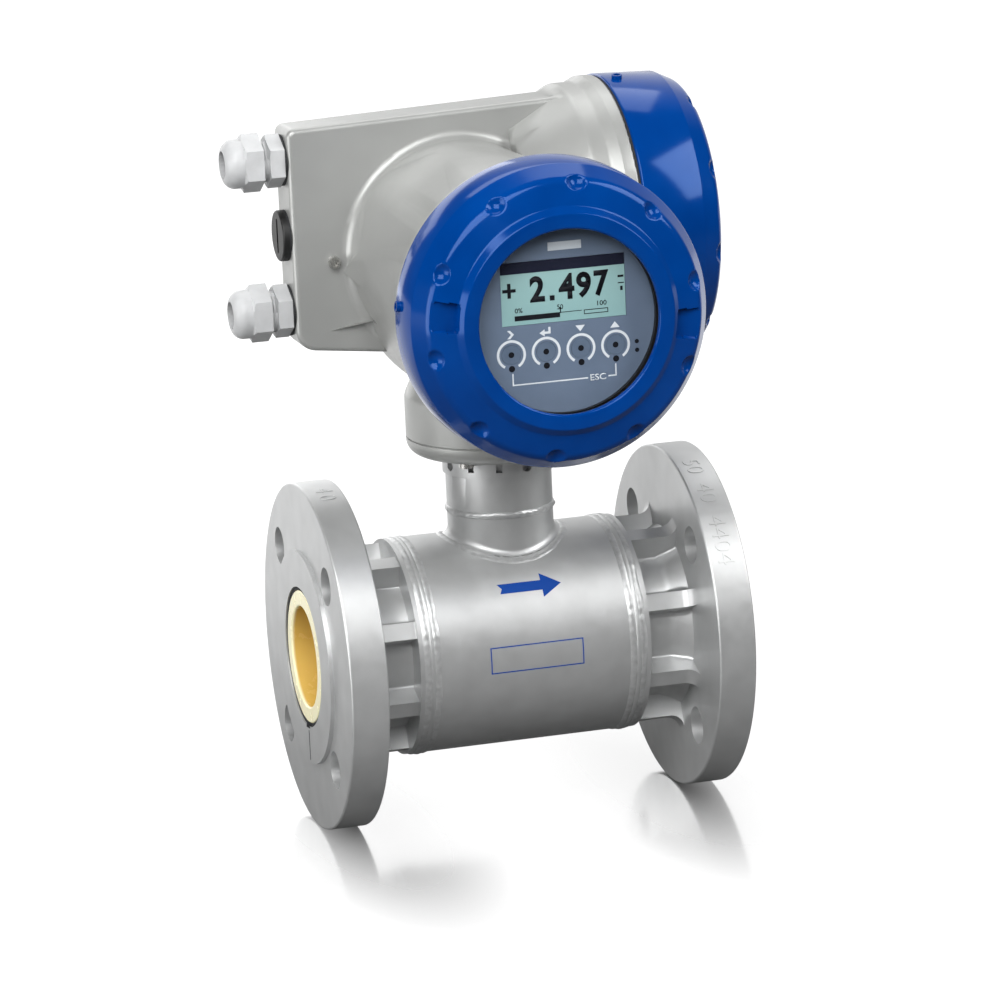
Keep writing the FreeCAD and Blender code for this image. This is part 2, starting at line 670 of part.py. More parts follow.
def build_sensor():
    """Flanges, casing, measuring tube and its seals."""
    flange("inlet_flange", AGAINST_X * Rotation(Vector(0, 0, 1), half_rib_pitch(1).value))
    flange("outlet_flange", ALONG_X * Rotation(Vector(0, 0, 1), half_rib_pitch(1).value))

    casing = new_body("coil_casing")
    inner_end = casing_end - size["casing_wall"]
    revolve(casing, [
        (flange_bore, -casing_end),
        (casing_radius, -casing_end),
        (casing_radius, casing_end),
        (flange_bore, casing_end),
        (flange_bore, inner_end),
        (casing_inside, inner_end),
        (casing_inside, -inner_end),
        (flange_bore, -inner_end),
    ])
    bead_place = casing_end - size["bead_inset_length"]
    for height in (-bead_place, bead_place):
        revolve_circle(casing, casing_radius - size["bead_radius"] / 2, height, size["bead_radius"])
    extrude(
        casing, "YZ_Plane", (0, 0, 0),
        lambda sketch: draw_circle(sketch, 0, 0, neck_inside),
        casing_radius, cut=True, reverse=False)
    place(casing, (0, 0, 0), ALONG_X)

    tube_end = raised_face - size["tube_recess_depth"]
    tube = new_body("measuring_tube")
    revolve(tube, [
        (bore_radius, -tube_end, size["tube_end_radius"]),
        (tube_radius, -tube_end, size["tube_end_radius"]),
        (tube_radius, tube_end, size["tube_end_radius"]),
        (bore_radius, tube_end, size["tube_end_radius"]),
    ])
    extrude(
        tube, "XZ_Plane", (0, 0, 0),
        lambda sketch: draw_circle(sketch, 0, 0, size["electrode_diameter"] / 2),
        tube_radius * 2, cut=True, midplane=True)
    place(tube, (0, 0, 0), ALONG_X)

    seal_top = raised_face - size["seal_recess_depth"]
    for label, turn in (("inlet_seal_ring", AGAINST_X), ("outlet_seal_ring", ALONG_X)):
        turned(label, ring(tube_radius, flange_bore, seal_top - size["seal_length"], seal_top),
               turn=turn)


def round_bar(radius, low, high, direction=Vector(0, 0, 1)):
    """A plain cylinder between two distances along a direction through the origin."""
    start = direction * length(low).value
    return Part.makeCylinder(length(radius).value, (high - low).value, start, direction)


def build_field_coils():
    """Pole shoes with their cores, coils and the iron band that closes the field."""
    x_axis = Vector(1, 0, 0)
    half_shoe = size["shoe_length"] / 2
    tube_body = round_bar(tube_radius, -raised_face, raised_face, x_axis)
    shoe_tube = round_bar(shoe_outside, -half_shoe, half_shoe, x_axis)
    inside_yoke = round_bar(yoke_inside, -casing_end, casing_end, x_axis)
    width = size["shoe_width"].value
    for label, side in (("upper", 1), ("lower", -1)):
        up = Vector(0, 0, side)
        block = Part.makeBox(
            size["shoe_length"].value, width, yoke_inside.value,
            Vector(-half_shoe.value, -width / 2, 0))
        if side < 0:
            block.translate(Vector(0, 0, -yoke_inside.value))
        core = round_bar(size["core_diameter"] / 2, length(0), casing_inside, up)
        shoe = shoe_tube.common(block).fuse(core).cut(tube_body).common(inside_yoke)
        new_solid(f"{label}_pole_shoe", shoe.removeSplitter())
        coil = round_bar(size["coil_diameter"] / 2, coil_low, coil_high, up)
        hole = round_bar(size["core_diameter"] / 2 + size["coil_gap"], length(0), casing_inside, up)
        new_solid(f"{label}_coil", coil.cut(hole))
    half_yoke = size["yoke_width"] / 2
    turned("field_yoke", ring(yoke_inside, yoke_outside, -half_yoke, half_yoke), turn=ALONG_X)


def build_electrodes():
    """The two electrodes across the bore."""
    pin = size["electrode_diameter"] / 2
    head = size["electrode_head_diameter"] / 2
    tip = bore_radius + size["electrode_recess_depth"]
    head_top = tube_radius + size["electrode_head_height"]
    for label, turn in (("front_electrode", AGAINST_Y), ("rear_electrode", ALONG_Y)):
        turned(label, [
            (0, tip),
            (pin, tip),
            (pin, tube_radius),
            (head, tube_radius),
            (head, head_top),
            (pin, head_top),
            (pin, head_top + size["electrode_tail_length"]),
            (0, head_top + size["electrode_tail_length"]),
        ], turn=turn)


def build_neck():
    """Neck tube with its welds, the slotted collar and the lead inside."""
    sleeve_radius = collar_radius - size["collar_wall"]
    casing_bar = round_bar(casing_radius, -casing_end, casing_end, Vector(1, 0, 0))
    tube = round_bar(neck_radius, length(0), collar_foot)
    joined = casing_bar.fuse(tube)
    seam = [edge for edge in joined.Edges if is_saddle(edge)]
    welded = joined.makeFillet(size["neck_weld_radius"].value, seam).cut(casing_bar)
    sleeve = round_bar(sleeve_radius, length(0), neck_top)
    bead = Part.makeTorus(
        neck_radius.value - size["neck_bead_radius"].value / 2,
        size["neck_bead_radius"].value,
        Vector(0, 0, (casing_radius + size["neck_bead_rise"]).value))
    inside = round_bar(neck_inside, length(0), neck_top)
    neck = welded.fuse([sleeve.cut(casing_bar), bead]).cut(inside)
    new_solid("neck_tube", neck.removeSplitter())

    collar = new_body("neck_collar")
    revolve(collar, ring(sleeve_radius, collar_radius, collar_foot, neck_top))
    slot_half = size["collar_slot_width"] / 2
    reach = collar_radius + size["collar_wall"]
    slot = extrude(
        collar, "XY_Plane", (0, 0, neck_top),
        lambda sketch: draw_outline(sketch, [
            (sleeve_radius - size["collar_wall"], -slot_half),
            (reach, -slot_half),
            (reach, slot_half),
            (sleeve_radius - size["collar_wall"], slot_half),
        ]),
        size["collar_slot_depth"], cut=True)
    repeat_round(collar, slot, size["collar_slot_count"])
    hole_height = collar_foot + size["collar_height"] / 2
    hole = extrude(
        collar, "XZ_Plane", (0, 0, 0),
        lambda sketch: draw_circle(sketch, 0, hole_height, size["collar_hole_diameter"] / 2),
        reach, cut=True, reverse=True)
    repeat_round(collar, hole, size["collar_hole_count"])
    place(collar, (0, 0, 0), Rotation(Vector(0, 0, 1), 360 / size["collar_slot_count"].value / 2))

    bend = size["lead_bend_radius"].value
    rise = lower_entry.value
    back = size["lead_offset_length"].value
    middle = math.sqrt(0.5) * bend
    foot = Vector(0, back, 0)
    block_back = terminal_floor.value
    route = Part.Wire([
        Part.LineSegment(foot, Vector(0, back, rise - bend)).toShape(),
        Part.Arc(
            Vector(0, back, rise - bend),
            Vector(bend - middle, back, rise - bend + middle),
            Vector(bend, back, rise)).toShape(),
        Part.LineSegment(Vector(bend, back, rise), Vector(block_back, back, rise)).toShape(),
    ])
    section = Part.Wire([Part.makeCircle(size["lead_diameter"].value / 2, foot, Vector(0, 0, 1))])
    lead = route.makePipeShell([section], True, False)
    yoke_bar = round_bar(yoke_outside, -casing_end, casing_end, Vector(1, 0, 0))
    new_solid("signal_lead", lead.cut(yoke_bar))


def is_saddle(edge):
    """True for the curve where the neck meets the casing."""
    return not isinstance(edge.Curve, (Part.Circle, Part.Line)) and edge.Length > neck_radius.value


# Converter housing

def slab_outline(sketch):
    """Side of the flat wiring channel, from the cable entries to the terminal side."""
    right = terminal_face - size["terminal_length"] / 2
    draw_outline(sketch, [
        (-channel_left, channel_low_left, size["channel_corner_radius"]),
        (right, channel_low_right),
        (right, channel_high_right),
        (-channel_left, channel_high_left, size["channel_top_corner_radius"]),
    ])


def channel_outline(sketch):
    """Inside of the wiring channel."""
    wall = size["entry_wall"]
    draw_outline(sketch, [
        (wall - channel_left, channel_low_left + wall),
        (terminal_floor + wall, channel_low_right + wall * 2),
        (terminal_floor + wall, channel_high_right - wall * 2),
        (wall - channel_left, channel_high_left - wall),
    ])


def on_plane(edge, axis, place):
    """True where the whole edge lies in a plane across an axis."""
    ends = [getattr(vertex.Point, axis) for vertex in edge.Vertexes]
    ends.append(getattr(edge.valueAt((edge.FirstParameter + edge.LastParameter) / 2), axis))
    return all(abs(end - length(place).value) < 0.01 for end in ends)


def build_housing():
    """The casting: display drum, flat wiring channel, terminal side and stem."""
    body = new_body("converter_housing")
    extrude(body, "XZ_Plane", (0, 0, -channel_back), slab_outline, size["channel_depth"])
    slab_right = terminal_face - size["terminal_length"] / 2
    round_edges(body, size["channel_edge_radius"], lambda edge: (
        (on_plane(edge, "y", channel_back) or on_plane(edge, "y", channel_front))
        and not on_plane(edge, "x", slab_right)))

    root_axis = drum_axis + size["root_rise_offset"]
    root = size["root_radius"]
    foot = root + size["root_fillet_radius"] + size["edge_break_radius"] / 2
    fillet_end = channel_front - size["root_fillet_radius"]
    revolve(body, [
        (channel_front + size["channel_wall"], 0),
        (channel_front + size["channel_wall"], foot),
        (channel_front, foot),
        (channel_front, root, size["root_fillet_radius"]),
        (fillet_end - size["edge_break_radius"], root),
        (fillet_end - size["edge_break_radius"], 0),
    ], role="YZ_Plane", offset=(0, root_axis, -size["root_left_offset"]), axis="H_Axis")
    beyond_drum = drum_radius * 2
    extrude(
        body, "XZ_Plane", (0, 0, -(channel_front + size["channel_depth"])),
        lambda sketch: draw_outline(sketch, [
            (-channel_left, channel_low_left),
            (slab_right, channel_low_right),
            (slab_right, drum_axis + beyond_drum),
            (slab_right + beyond_drum, drum_axis + beyond_drum),
            (slab_right + beyond_drum, drum_axis - beyond_drum),
            (-channel_left, drum_axis - beyond_drum),
        ]),
        size["channel_depth"] * 3, cut=True, midplane=True)
    taper_front = size["drum_face"] - size["shoulder_length"] - size["shoulder_taper_length"]
    blend(body, [
        (-fillet_end, (-size["root_left_offset"], root_axis), root),
        (taper_front, (0, drum_axis), drum_radius),
    ])

    face = size["drum_face"]
    taper_end = taper_front
    revolve(body, [
        (channel_back, 0),
        (-(face + size["spigot_length"]), 0),
        (-(face + size["spigot_length"]), spigot_radius, size["edge_break_radius"]),
        (-face, spigot_radius),
        (-face, shoulder_radius, size["edge_break_radius"]),
        (-(face - size["shoulder_length"]), shoulder_radius, size["edge_break_radius"]),
        (-taper_end, drum_radius, size["shoulder_taper_length"]),
        (channel_back, drum_radius, size["drum_back_radius"]),
    ], role="YZ_Plane", offset=(0, drum_axis, 0), axis="H_Axis")

    cylinder_start = terminal_face - size["terminal_length"]
    shoulder_start = terminal_face - size["shoulder_length"]
    revolve(body, [
        (cylinder_start - size["terminal_cone_length"], 0),
        (cylinder_start - size["terminal_cone_length"], terminal_radius - size["terminal_cone_height"]),
        (cylinder_start, terminal_radius, size["terminal_round_radius"]),
        (shoulder_start - size["shoulder_taper_length"], terminal_radius, size["shoulder_taper_length"]),
        (shoulder_start, shoulder_radius, size["edge_break_radius"]),
        (terminal_face, shoulder_radius, size["edge_break_radius"]),
        (terminal_face, spigot_radius),
        (terminal_face + size["spigot_length"], spigot_radius, size["edge_break_radius"]),
        (terminal_face + size["spigot_length"], 0),
    ], offset=(0, terminal_axis, -channel_middle), axis="H_Axis")

    stem_top = channel_low_right + size["stem_overlap_height"]
    revolve(body, [
        (0, base_top),
        (stem_radius - size["stem_groove_depth"], base_top),
        (stem_radius - size["stem_groove_depth"], base_top + size["stem_groove_depth"]),
        (stem_radius, base_top + size["stem_groove_depth"]),
        (stem_radius, base_top + size["stem_cylinder_height"], size["drum_back_radius"]),
        (stem_radius - size["stem_cone_width"], stem_top),
        (0, stem_top),
    ])

    beyond = size["spigot_length"] + size["edge_break_radius"]
    revolve(body, [
        (-drum_floor, 0),
        (-(face + beyond), 0),
        (-(face + beyond), cavity_radius),
        (-drum_floor, cavity_radius),
    ], cut=True, role="YZ_Plane", offset=(0, drum_axis, 0), axis="H_Axis")
    revolve(body, [
        (terminal_floor, 0),
        (terminal_floor, cavity_radius),
        (terminal_face + beyond, cavity_radius),
        (terminal_face + beyond, 0),
    ], cut=True, offset=(0, terminal_axis, -channel_middle), axis="H_Axis")
    extrude(
        body, "XZ_Plane", (0, 0, -(channel_front + size["channel_wall"])), channel_outline,
        size["channel_depth"] - size["channel_wall"] * 2, cut=True)
    extrude(
        body, "XY_Plane", (0, 0, base_top),
        lambda sketch: draw_circle(sketch, 0, 0, size["lead_bore_diameter"] / 2),
        channel_low_right + size["lead_bore_rise"] - base_top, cut=True, reverse=True)
    for entry in (upper_entry, lower_entry, plug_entry):
        extrude(
            body, "YZ_Plane", (channel_middle, entry, -channel_left),
            lambda sketch: draw_circle(sketch, 0, 0, size["entry_thread_diameter"] / 2),
            size["entry_wall"] + size["edge_break_radius"], cut=True, reverse=True)
    for i in range(int(size["base_screw_count"].value)):
        extrude(
            body, "XY_Plane", (0, 0, base_top),
            lambda sketch: draw_circle(
                sketch, *polar(base_screw_radius, screw_angle(i)),
                size["base_screw_diameter"] / 2),
            size["base_screw_depth"], cut=True, reverse=True)
    extrude(
        body, "XZ_Plane", (0, 0, -channel_front),
        lambda sketch: draw_circle(
            sketch, -size["lock_screw_left_length"], lock_screw_up, size["lock_screw_diameter"] / 2),
        size["channel_wall"], cut=True)

    base = turned("converter_base", [
        (size["lead_bore_diameter"] / 2, neck_top),
        (stem_radius, neck_top, size["base_height"] - size["stem_land_height"]),
        (stem_radius, base_top),
        (size["lead_bore_diameter"] / 2, base_top),
    ])
    for i in range(int(size["base_screw_count"].value)):
        extrude(
            base, "XY_Plane", (0, 0, base_top),
            lambda sketch: draw_circle(
                sketch, *polar(base_screw_radius, screw_angle(i)),
                size["base_screw_diameter"] / 2),
            size["base_height"], cut=True)

    screws = []
    for i in range(int(size["base_screw_count"].value)):
        across, up = polar(base_screw_radius, screw_angle(i))
        screws.append(socket_screw(
            size["base_screw_head_diameter"], size["base_screw_head_height"], size["base_screw_diameter"],
            size["base_height"] + size["base_screw_depth"],
            Vector(across.value, up.value, neck_top.value), Vector(0, 0, -1)))
    new_solid("base_screws", Part.makeCompound(screws))
    new_solid("lock_screw", socket_screw(
        size["lock_screw_head_diameter"], size["lock_screw_height"], size["lock_screw_diameter"],
        size["channel_wall"],
        Vector(-size["lock_screw_left_length"].value, channel_front.value, lock_screw_up.value),
        Vector(0, -1, 0)))


def screw_angle(i):
    """Angle of one of the base screws, between the ribs of the housing."""
    pitch = Length(360, "360") * Length(
        1 / size["base_screw_count"].value, f"(1 / {size['base_screw_count'].formula})")
    return pitch * i + pitch / 2


def socket_screw(head, head_height, thread, reach, seat, outward):
    """A cap screw seated at a point, with its hexagon socket facing outward."""
    head_end = seat + outward * head_height.value
    cap = Part.makeCylinder(head.value / 2, head_height.value, seat, outward)
    shank = Part.makeCylinder(thread.value / 2, reach.value, seat, -outward)
    key = Part.makePolygon([
        Vector(length(across).value, length(up).value, 0)
        for across, up in hexagon(size["socket_flats_width"]) + hexagon(size["socket_flats_width"])[:1]])
    socket = Part.Face(key).extrude(Vector(0, 0, -head_height.value / 2))
    socket.Placement = FreeCAD.Placement(head_end, Rotation(Vector(0, 0, 1), outward))
    return cap.fuse(shank).cut(socket).removeSplitter()


# Covers

def cover_outside(rim, side_height, bevel_height):
    """Outer corners of a cover, from its rim to the inner edge of its face."""
    return [
        (spigot_radius + size["thread_gap"], 0),
        (rim, 0, size["edge_break_radius"]),
        (rim - size["cover_draft_width"], side_height),
        (face_outside, side_height + bevel_height, size["cover_bevel_radius"]),
        (face_inside, side_height + bevel_height + size["face_slope_height"]),
    ]


def cover_skirt(inside_height):
    """Inner corners of both covers, from the inside of the face down to the thread."""
    inside = spigot_radius - size["cover_inside_depth"]
    return [
        (inside, inside_height),
        (inside, size["skirt_length"]),
        (spigot_radius + size["thread_gap"], size["skirt_length"]),
    ]


def finish_cover(body, rim, face, at, turn):
    """Cut the pits, the grip notches and the hole of the locking screw into a cover."""
    pit_across, pit_up = polar(cover_radius - size["dimple_inset_length"], size["dimple_turn"])
    pit_height = face - size["dimple_sink_height"]
    pit = body.newObject("PartDesign::SubtractiveSphere", "pit")
    pit.AttachmentSupport = [(origin_part(body, "XY_Plane"), "")]
    pit.MapMode = "FlatFace"
    pit.AttachmentOffset = FreeCAD.Placement(
        Vector(pit_across.value, pit_up.value, pit_height.value), Rotation())
    pit.setExpression(".AttachmentOffset.Base.x", pit_across.formula)
    pit.setExpression(".AttachmentOffset.Base.y", pit_up.formula)
    pit.setExpression(".AttachmentOffset.Base.z", pit_height.formula)
    pit.setExpression("Radius", size["dimple_radius"].formula)
    repeat_round(body, pit, size["dimple_count"])
    half = size["notch_width"] / 2
    above = face + size["lip_rise"] + size["edge_break_radius"]
    outside = rim + size["edge_break_radius"]
    notch_inside = cover_radius - size["notch_length"]
    notch = extrude(
        body, "XY_Plane", (0, 0, above),
        lambda sketch: draw_outline(sketch, [
            (notch_inside, -half, size["lip_round_radius"]),
            (outside, -half),
            (outside, half),
            (notch_inside, half, size["lip_round_radius"]),
        ]),
        above - face + size["notch_sink_height"], cut=True)
    repeat_round(body, notch, 2)
    extrude(
        body, "YZ_Plane", (0, 0, 0),
        lambda sketch: draw_circle(
            sketch, 0, size["cover_screw_height"], size["cover_screw_diameter"] / 2),
        outside, cut=True)
    return place(body, at, turn)


def cover_screw(label, rim, at, turn):
    """Locking screw in the skirt of a cover, level with its hole."""
    low = spigot_radius + size["edge_break_radius"]
    high = rim + size["cover_screw_proud_height"]
    body = new_body(label)
    extrude(
        body, "YZ_Plane", (0, 0, -high),
        lambda sketch: draw_circle(
            sketch, 0, size["cover_screw_height"], size["cover_screw_diameter"] / 2),
        high - low)
    socket = [(across, up + size["cover_screw_height"])
              for across, up in hexagon(size["socket_flats_width"])]
    extrude(
        body, "YZ_Plane", (0, 0, -high),
        lambda sketch: draw_outline(sketch, socket),
        size["cover_screw_proud_height"], cut=True, reverse=True)
    return place(body, at, turn)


def build_covers():
    """The two screwed covers with their seals, and the window in the front one."""
    front_at = (0, -cover_seat, drum_axis)
    front_turn = AGAINST_Y * Rotation(Vector(0, 0, 1), size["cover_turn"].value)
    seat = glass_front + size["window_seal_thickness"]
    outside = cover_outside(cover_radius, size["cover_side_height"], size["cover_bevel_height"])
    front = new_body("front_cover")
    revolve(front, outside + [
        (lip_radius, lip_top, size["lip_round_radius"]),
        (opening_radius, lip_top, size["lip_round_radius"]),
        (opening_radius, seat),
        (glass_radius, seat),
        (glass_radius, window_ring_back),
    ] + cover_skirt(window_ring_back))
    finish_cover(front, cover_radius, cover_face, front_at, front_turn)
    cover_screw("front_cover_screw", cover_radius, front_at, front_turn)
    turned("window_glass", [(0, glass_back), (glass_radius, glass_back),
                            (glass_radius, glass_front), (0, glass_front)],
           at=front_at, turn=front_turn)
    turned("window_seal", ring(glass_radius - size["window_seal_width"], glass_radius,
                               glass_front, seat), at=front_at, turn=front_turn)
    turned("window_ring", ring(glass_radius - size["window_ring_width"], glass_radius,
                               window_ring_back, glass_back), at=front_at, turn=front_turn)

    side_at = (terminal_face + size["gasket_thickness"], channel_middle,
               terminal_axis)
    side_turn = ALONG_X * Rotation(Vector(0, 0, 1), size["side_cover_turn"].value)
    outside = cover_outside(blank_radius, size["blank_side_height"], size["blank_bevel_height"])
    blank_top = blank_face - size["blank_drop_height"]
    blank_inside = blank_top - size["blank_thickness"]
    side = new_body("side_cover")
    revolve(side, outside + [
        (lip_radius, blank_top, size["lip_round_radius"]),
        (0, blank_top),
        (0, blank_inside),
    ] + cover_skirt(blank_inside))
    finish_cover(side, blank_radius, blank_face, side_at, side_turn)
    cover_screw("side_cover_screw", blank_radius, side_at, side_turn)

    seal_outer = shoulder_radius - size["gasket_inset_length"]
    seal_inner = seal_outer - size["gasket_width"]
    for label, at, turn in (("front_cover_seal", front_at, front_turn),
                            ("side_cover_seal", side_at, side_turn)):
        turned(label, ring(seal_inner, seal_outer, -size["gasket_thickness"], 0), at=at, turn=turn)


# Display and electronics

def screen_corners(margin):
    """Corners of the screen, or of its opening, on the display panel."""
    half_width = size["screen_width"] / 2 + margin
    half_height = size["screen_height"] / 2 + margin
    return [
        (size["screen_shift_width"] + across, size["screen_rise"] + up)
        for across, up in ((-half_width, -half_height), (half_width, -half_height),
                           (half_width, half_height), (-half_width, half_height))]


def key_places():
    """Centres of the optical keys on the display panel."""
    count = int(size["key_count"].value)
    first = -size["key_shift_width"] - size["key_pitch"] * ((count - 1) / 2)
    return [(first + size["key_pitch"] * i, -size["key_drop_height"]) for i in range(count)]


def build_display():
    """Panel, screen, optical keys, board and case, and the electronics unit behind them."""
    at = (0, 0, drum_axis)
    panel_back = display_front - size["panel_thickness"]
    panel = new_body("display_panel")
    revolve(panel, [(0, panel_back), (display_radius, panel_back), (display_radius, display_front),
                    (0, display_front)])
    extrude(
        panel, "XY_Plane", (0, 0, display_front),
        lambda sketch: draw_outline(sketch, screen_corners(size["screen_gap"])),
        size["panel_thickness"], cut=True)
    for across, up in key_places():
        extrude(
            panel, "XY_Plane", (0, 0, display_front),
            lambda sketch: draw_circle(
                sketch, across, up, size["key_diameter"] / 2 + size["key_gap"]),
            size["panel_thickness"], cut=True)
    place(panel, at, AGAINST_Y)

    screen = new_body("lcd_module")
    extrude(
        screen, "XY_Plane", (0, 0, board_front),
        lambda sketch: draw_outline(sketch, screen_corners(length(0))),
        size["screen_thickness"])
    place(screen, at, AGAINST_Y)

    keys = []
    key_length = (display_front - board_front).value
    for across, up in key_places():
        keys.append(Part.makeCylinder(
            size["key_diameter"].value / 2, key_length,
            Vector(across.value, up.value, board_front.value)))
    new_solid("key_windows", Part.makeCompound(keys), at, AGAINST_Y)

    unit_front = size["drum_face"] + size["unit_proud_length"]
    board_radius = display_radius - size["display_case_wall"]
    board_back = board_front - size["board_thickness"]
    turned("display_board", [(0, board_back), (board_radius, board_back),
                             (board_radius, board_front), (0, board_front)], at, AGAINST_Y)
    turned("display_case", [
        (0, unit_front),
        (display_radius, unit_front),
        (display_radius, panel_back),
        (board_radius, panel_back),
        (board_radius, board_back),
        (board_radius - size["display_case_wall"], board_back),
        (board_radius - size["display_case_wall"], unit_front + size["display_case_wall"]),
        (0, unit_front + size["display_case_wall"]),
    ], at, AGAINST_Y)
    unit_radius = cavity_radius - size["unit_gap"]
    turned("electronics_unit", [
        (0, drum_floor),
        (unit_radius, drum_floor),
        (unit_radius, unit_front, size["unit_gap"]),
        (0, unit_front),
    ], at, AGAINST_Y)


def build_terminals():
    """Terminal block with its screws and the earth screw, on the floor of their compartment."""
    at = (terminal_floor, channel_middle, terminal_axis - size["block_drop_height"])
    half = size["block_height"] / 2
    depth = size["block_depth"]
    step = size["block_step_depth"]
    block = new_body("terminal_block")
    extrude(
        block, "XZ_Plane", (0, 0, 0),
        lambda sketch: draw_outline(sketch, [
            (0, -half),
            (depth - step, -half),
            (depth - step, 0),
            (depth, 0),
            (depth, half),
            (0, half),
        ]),
        size["block_width"], midplane=True)
    place(block, at)
    count = int(size["terminal_count"].value)
    pitch = size["block_width"].value / count
    screws = [
        Part.makeCylinder(
            size["terminal_screw_diameter"].value / 2, size["terminal_screw_height"].value,
            Vector((depth - step).value, pitch * (i - (count - 1) / 2), -half.value / 2),
            Vector(1, 0, 0))
        for i in range(count)]
    new_solid("terminal_screws", Part.makeCompound(screws), at)
    earth = new_body("earth_screw")
    extrude(
        earth, "YZ_Plane", (0, 0, 0),
        lambda sketch: draw_outline(sketch, hexagon(size["earth_diameter"])),
        size["earth_height"])
    place(earth, (terminal_floor, channel_middle + size["earth_offset_length"], terminal_axis))


# Cable entries

def round_tip(body, corner_radius, tip, amount):
    """Cut the outer corners at the end of a hexagon to a cone."""
    spare = size["edge_break_radius"]
    revolve(body, [
        (corner_radius - amount - spare, tip + spare / 2),
        (corner_radius + spare, tip + spare / 2),
        (corner_radius + spare, tip - amount / 2 - spare / 2),
    ], cut=True)


def gland(label, entry_height):
    """One cable gland: body, washer, rubber insert and dome nut on a common axis."""
    at = (-channel_left, channel_middle, entry_height)
    thread = size["entry_thread_diameter"] / 2
    bore = size["gland_bore_diameter"] / 2
    neck = size["gland_neck_diameter"] / 2
    turned(f"{label}_gland_washer", ring(thread, size["washer_diameter"] / 2, 0,
                                         size["washer_thickness"]), at, AGAINST_X)
    body = new_body(f"{label}_gland_body")
    extrude(
        body, "XY_Plane", (0, 0, size["washer_thickness"]),
        lambda sketch: draw_outline(sketch, hexagon(size["gland_flats_width"])),
        size["gland_hex_length"])
    round_tip(body, size["gland_flats_width"] / math.sqrt(3), gland_hex_end, size["gland_bevel_height"])
    revolve(body, ring(bore, thread, -size["entry_wall"], gland_hex_end))
    revolve(body, ring(bore, neck, gland_hex_end - size["gland_bevel_height"] * 2, gland_neck_end))
    revolve(body, [(0, -size["entry_wall"]), (bore, -size["entry_wall"]),
                   (bore, gland_neck_end), (0, gland_neck_end)], cut=True)
    place(body, at, AGAINST_X)

    insert_top = gland_neck_end + size["insert_length"]
    insert_radius = neck - size["edge_break_radius"]
    turned(f"{label}_gland_insert", ring(size["insert_bore_diameter"] / 2, insert_radius,
                                         gland_neck_end, insert_top), at, AGAINST_X)

    nut = new_body(f"{label}_gland_nut")
    extrude(
        nut, "XY_Plane", (0, 0, nut_foot),
        lambda sketch: draw_outline(sketch, hexagon(size["nut_flats_width"])),
        size["nut_hex_length"])
    hex_corner = size["nut_flats_width"] / math.sqrt(3)
    round_tip(nut, hex_corner, nut_foot + size["nut_hex_length"], size["gland_bevel_height"] * 2)
    revolve(nut, [
        (0, nut_foot + size["gland_bevel_height"]),
        (size["nut_dome_diameter"] / 2, nut_foot + size["gland_bevel_height"]),
        (size["nut_dome_diameter"] / 2, nut_tip, size["nut_dome_radius"]),
        (0, nut_tip),
    ])
    thread_end = gland_neck_end + size["nut_thread_gap"]
    revolve(nut, [
        (0, nut_foot),
        (neck + size["nut_thread_gap"], nut_foot),
        (neck + size["nut_thread_gap"], thread_end),
        (insert_radius + size["insert_gap"], thread_end),
        (insert_radius + size["insert_gap"], insert_top),
        (size["nut_mouth_diameter"] / 2, insert_top + size["insert_gap"]),
        (size["nut_mouth_diameter"] / 2, nut_tip),
        (0, nut_tip),
    ], cut=True)
    place(nut, at, AGAINST_X)


def build_blind_plug():
    """The plug that closes the middle entry."""
    at = (-channel_left, channel_middle, plug_entry)
    shank = size["entry_thread_diameter"] / 2 - size["plug_thread_gap"]
    head_foot = size["washer_thickness"]
    head_top = head_foot + size["plug_height"]
    turned("blind_plug_washer", ring(size["entry_thread_diameter"] / 2, size["washer_diameter"] / 2, 0,
                                     size["washer_thickness"]), at, AGAINST_X)
    plug = new_body("blind_plug")
    revolve(plug, [
        (0, -size["entry_wall"]),
        (shank, -size["entry_wall"]),
        (shank, head_foot),
        (size["plug_diameter"] / 2, head_foot),
        (size["plug_diameter"] / 2, head_top, size["plug_round_radius"]),
        (0, head_top),
    ])
    half_length = size["plug_slot_length"] / 2
    half_width = size["plug_slot_width"] / 2
    extrude(
        plug, "XY_Plane", (0, 0, head_top),
        lambda sketch: draw_outline(sketch, [
            (-half_length, -half_width), (half_length, -half_width),
            (half_length, half_width), (-half_length, half_width)]),
        size["plug_slot_depth"], cut=True)
    place(plug, at, AGAINST_X)


def finish():
    """Check every object and write one STEP file for each piece."""
    doc.recompute()
    faulty = [item.Name for item in doc.Objects if {"Invalid", "Error"} & set(item.State)]
    for piece in built:
        if piece.Shape.isNull() or not piece.Shape.isValid() or not piece.Shape.Solids:
            faulty.append(piece.Label)
    if faulty:
        raise RuntimeError("not built: " + ", ".join(faulty))
    os.makedirs("parts", exist_ok=True)
    for piece in built:
        piece.Shape.exportStep(f"parts/{piece.Label}.step")
        print(f"{piece.Label}: {len(piece.Shape.Solids)} solid, {piece.Shape.Volume:.0f} mm3")


build_sensor()
build_field_coils()
build_electrodes()
build_neck()
build_housing()
build_covers()
build_display()
build_terminals()
gland("upper", upper_entry)
gland("lower", lower_entry)
build_blind_plug()
finish()
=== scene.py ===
import json
import math

import bmesh
import bpy
from mathutils import Matrix, Vector, noise


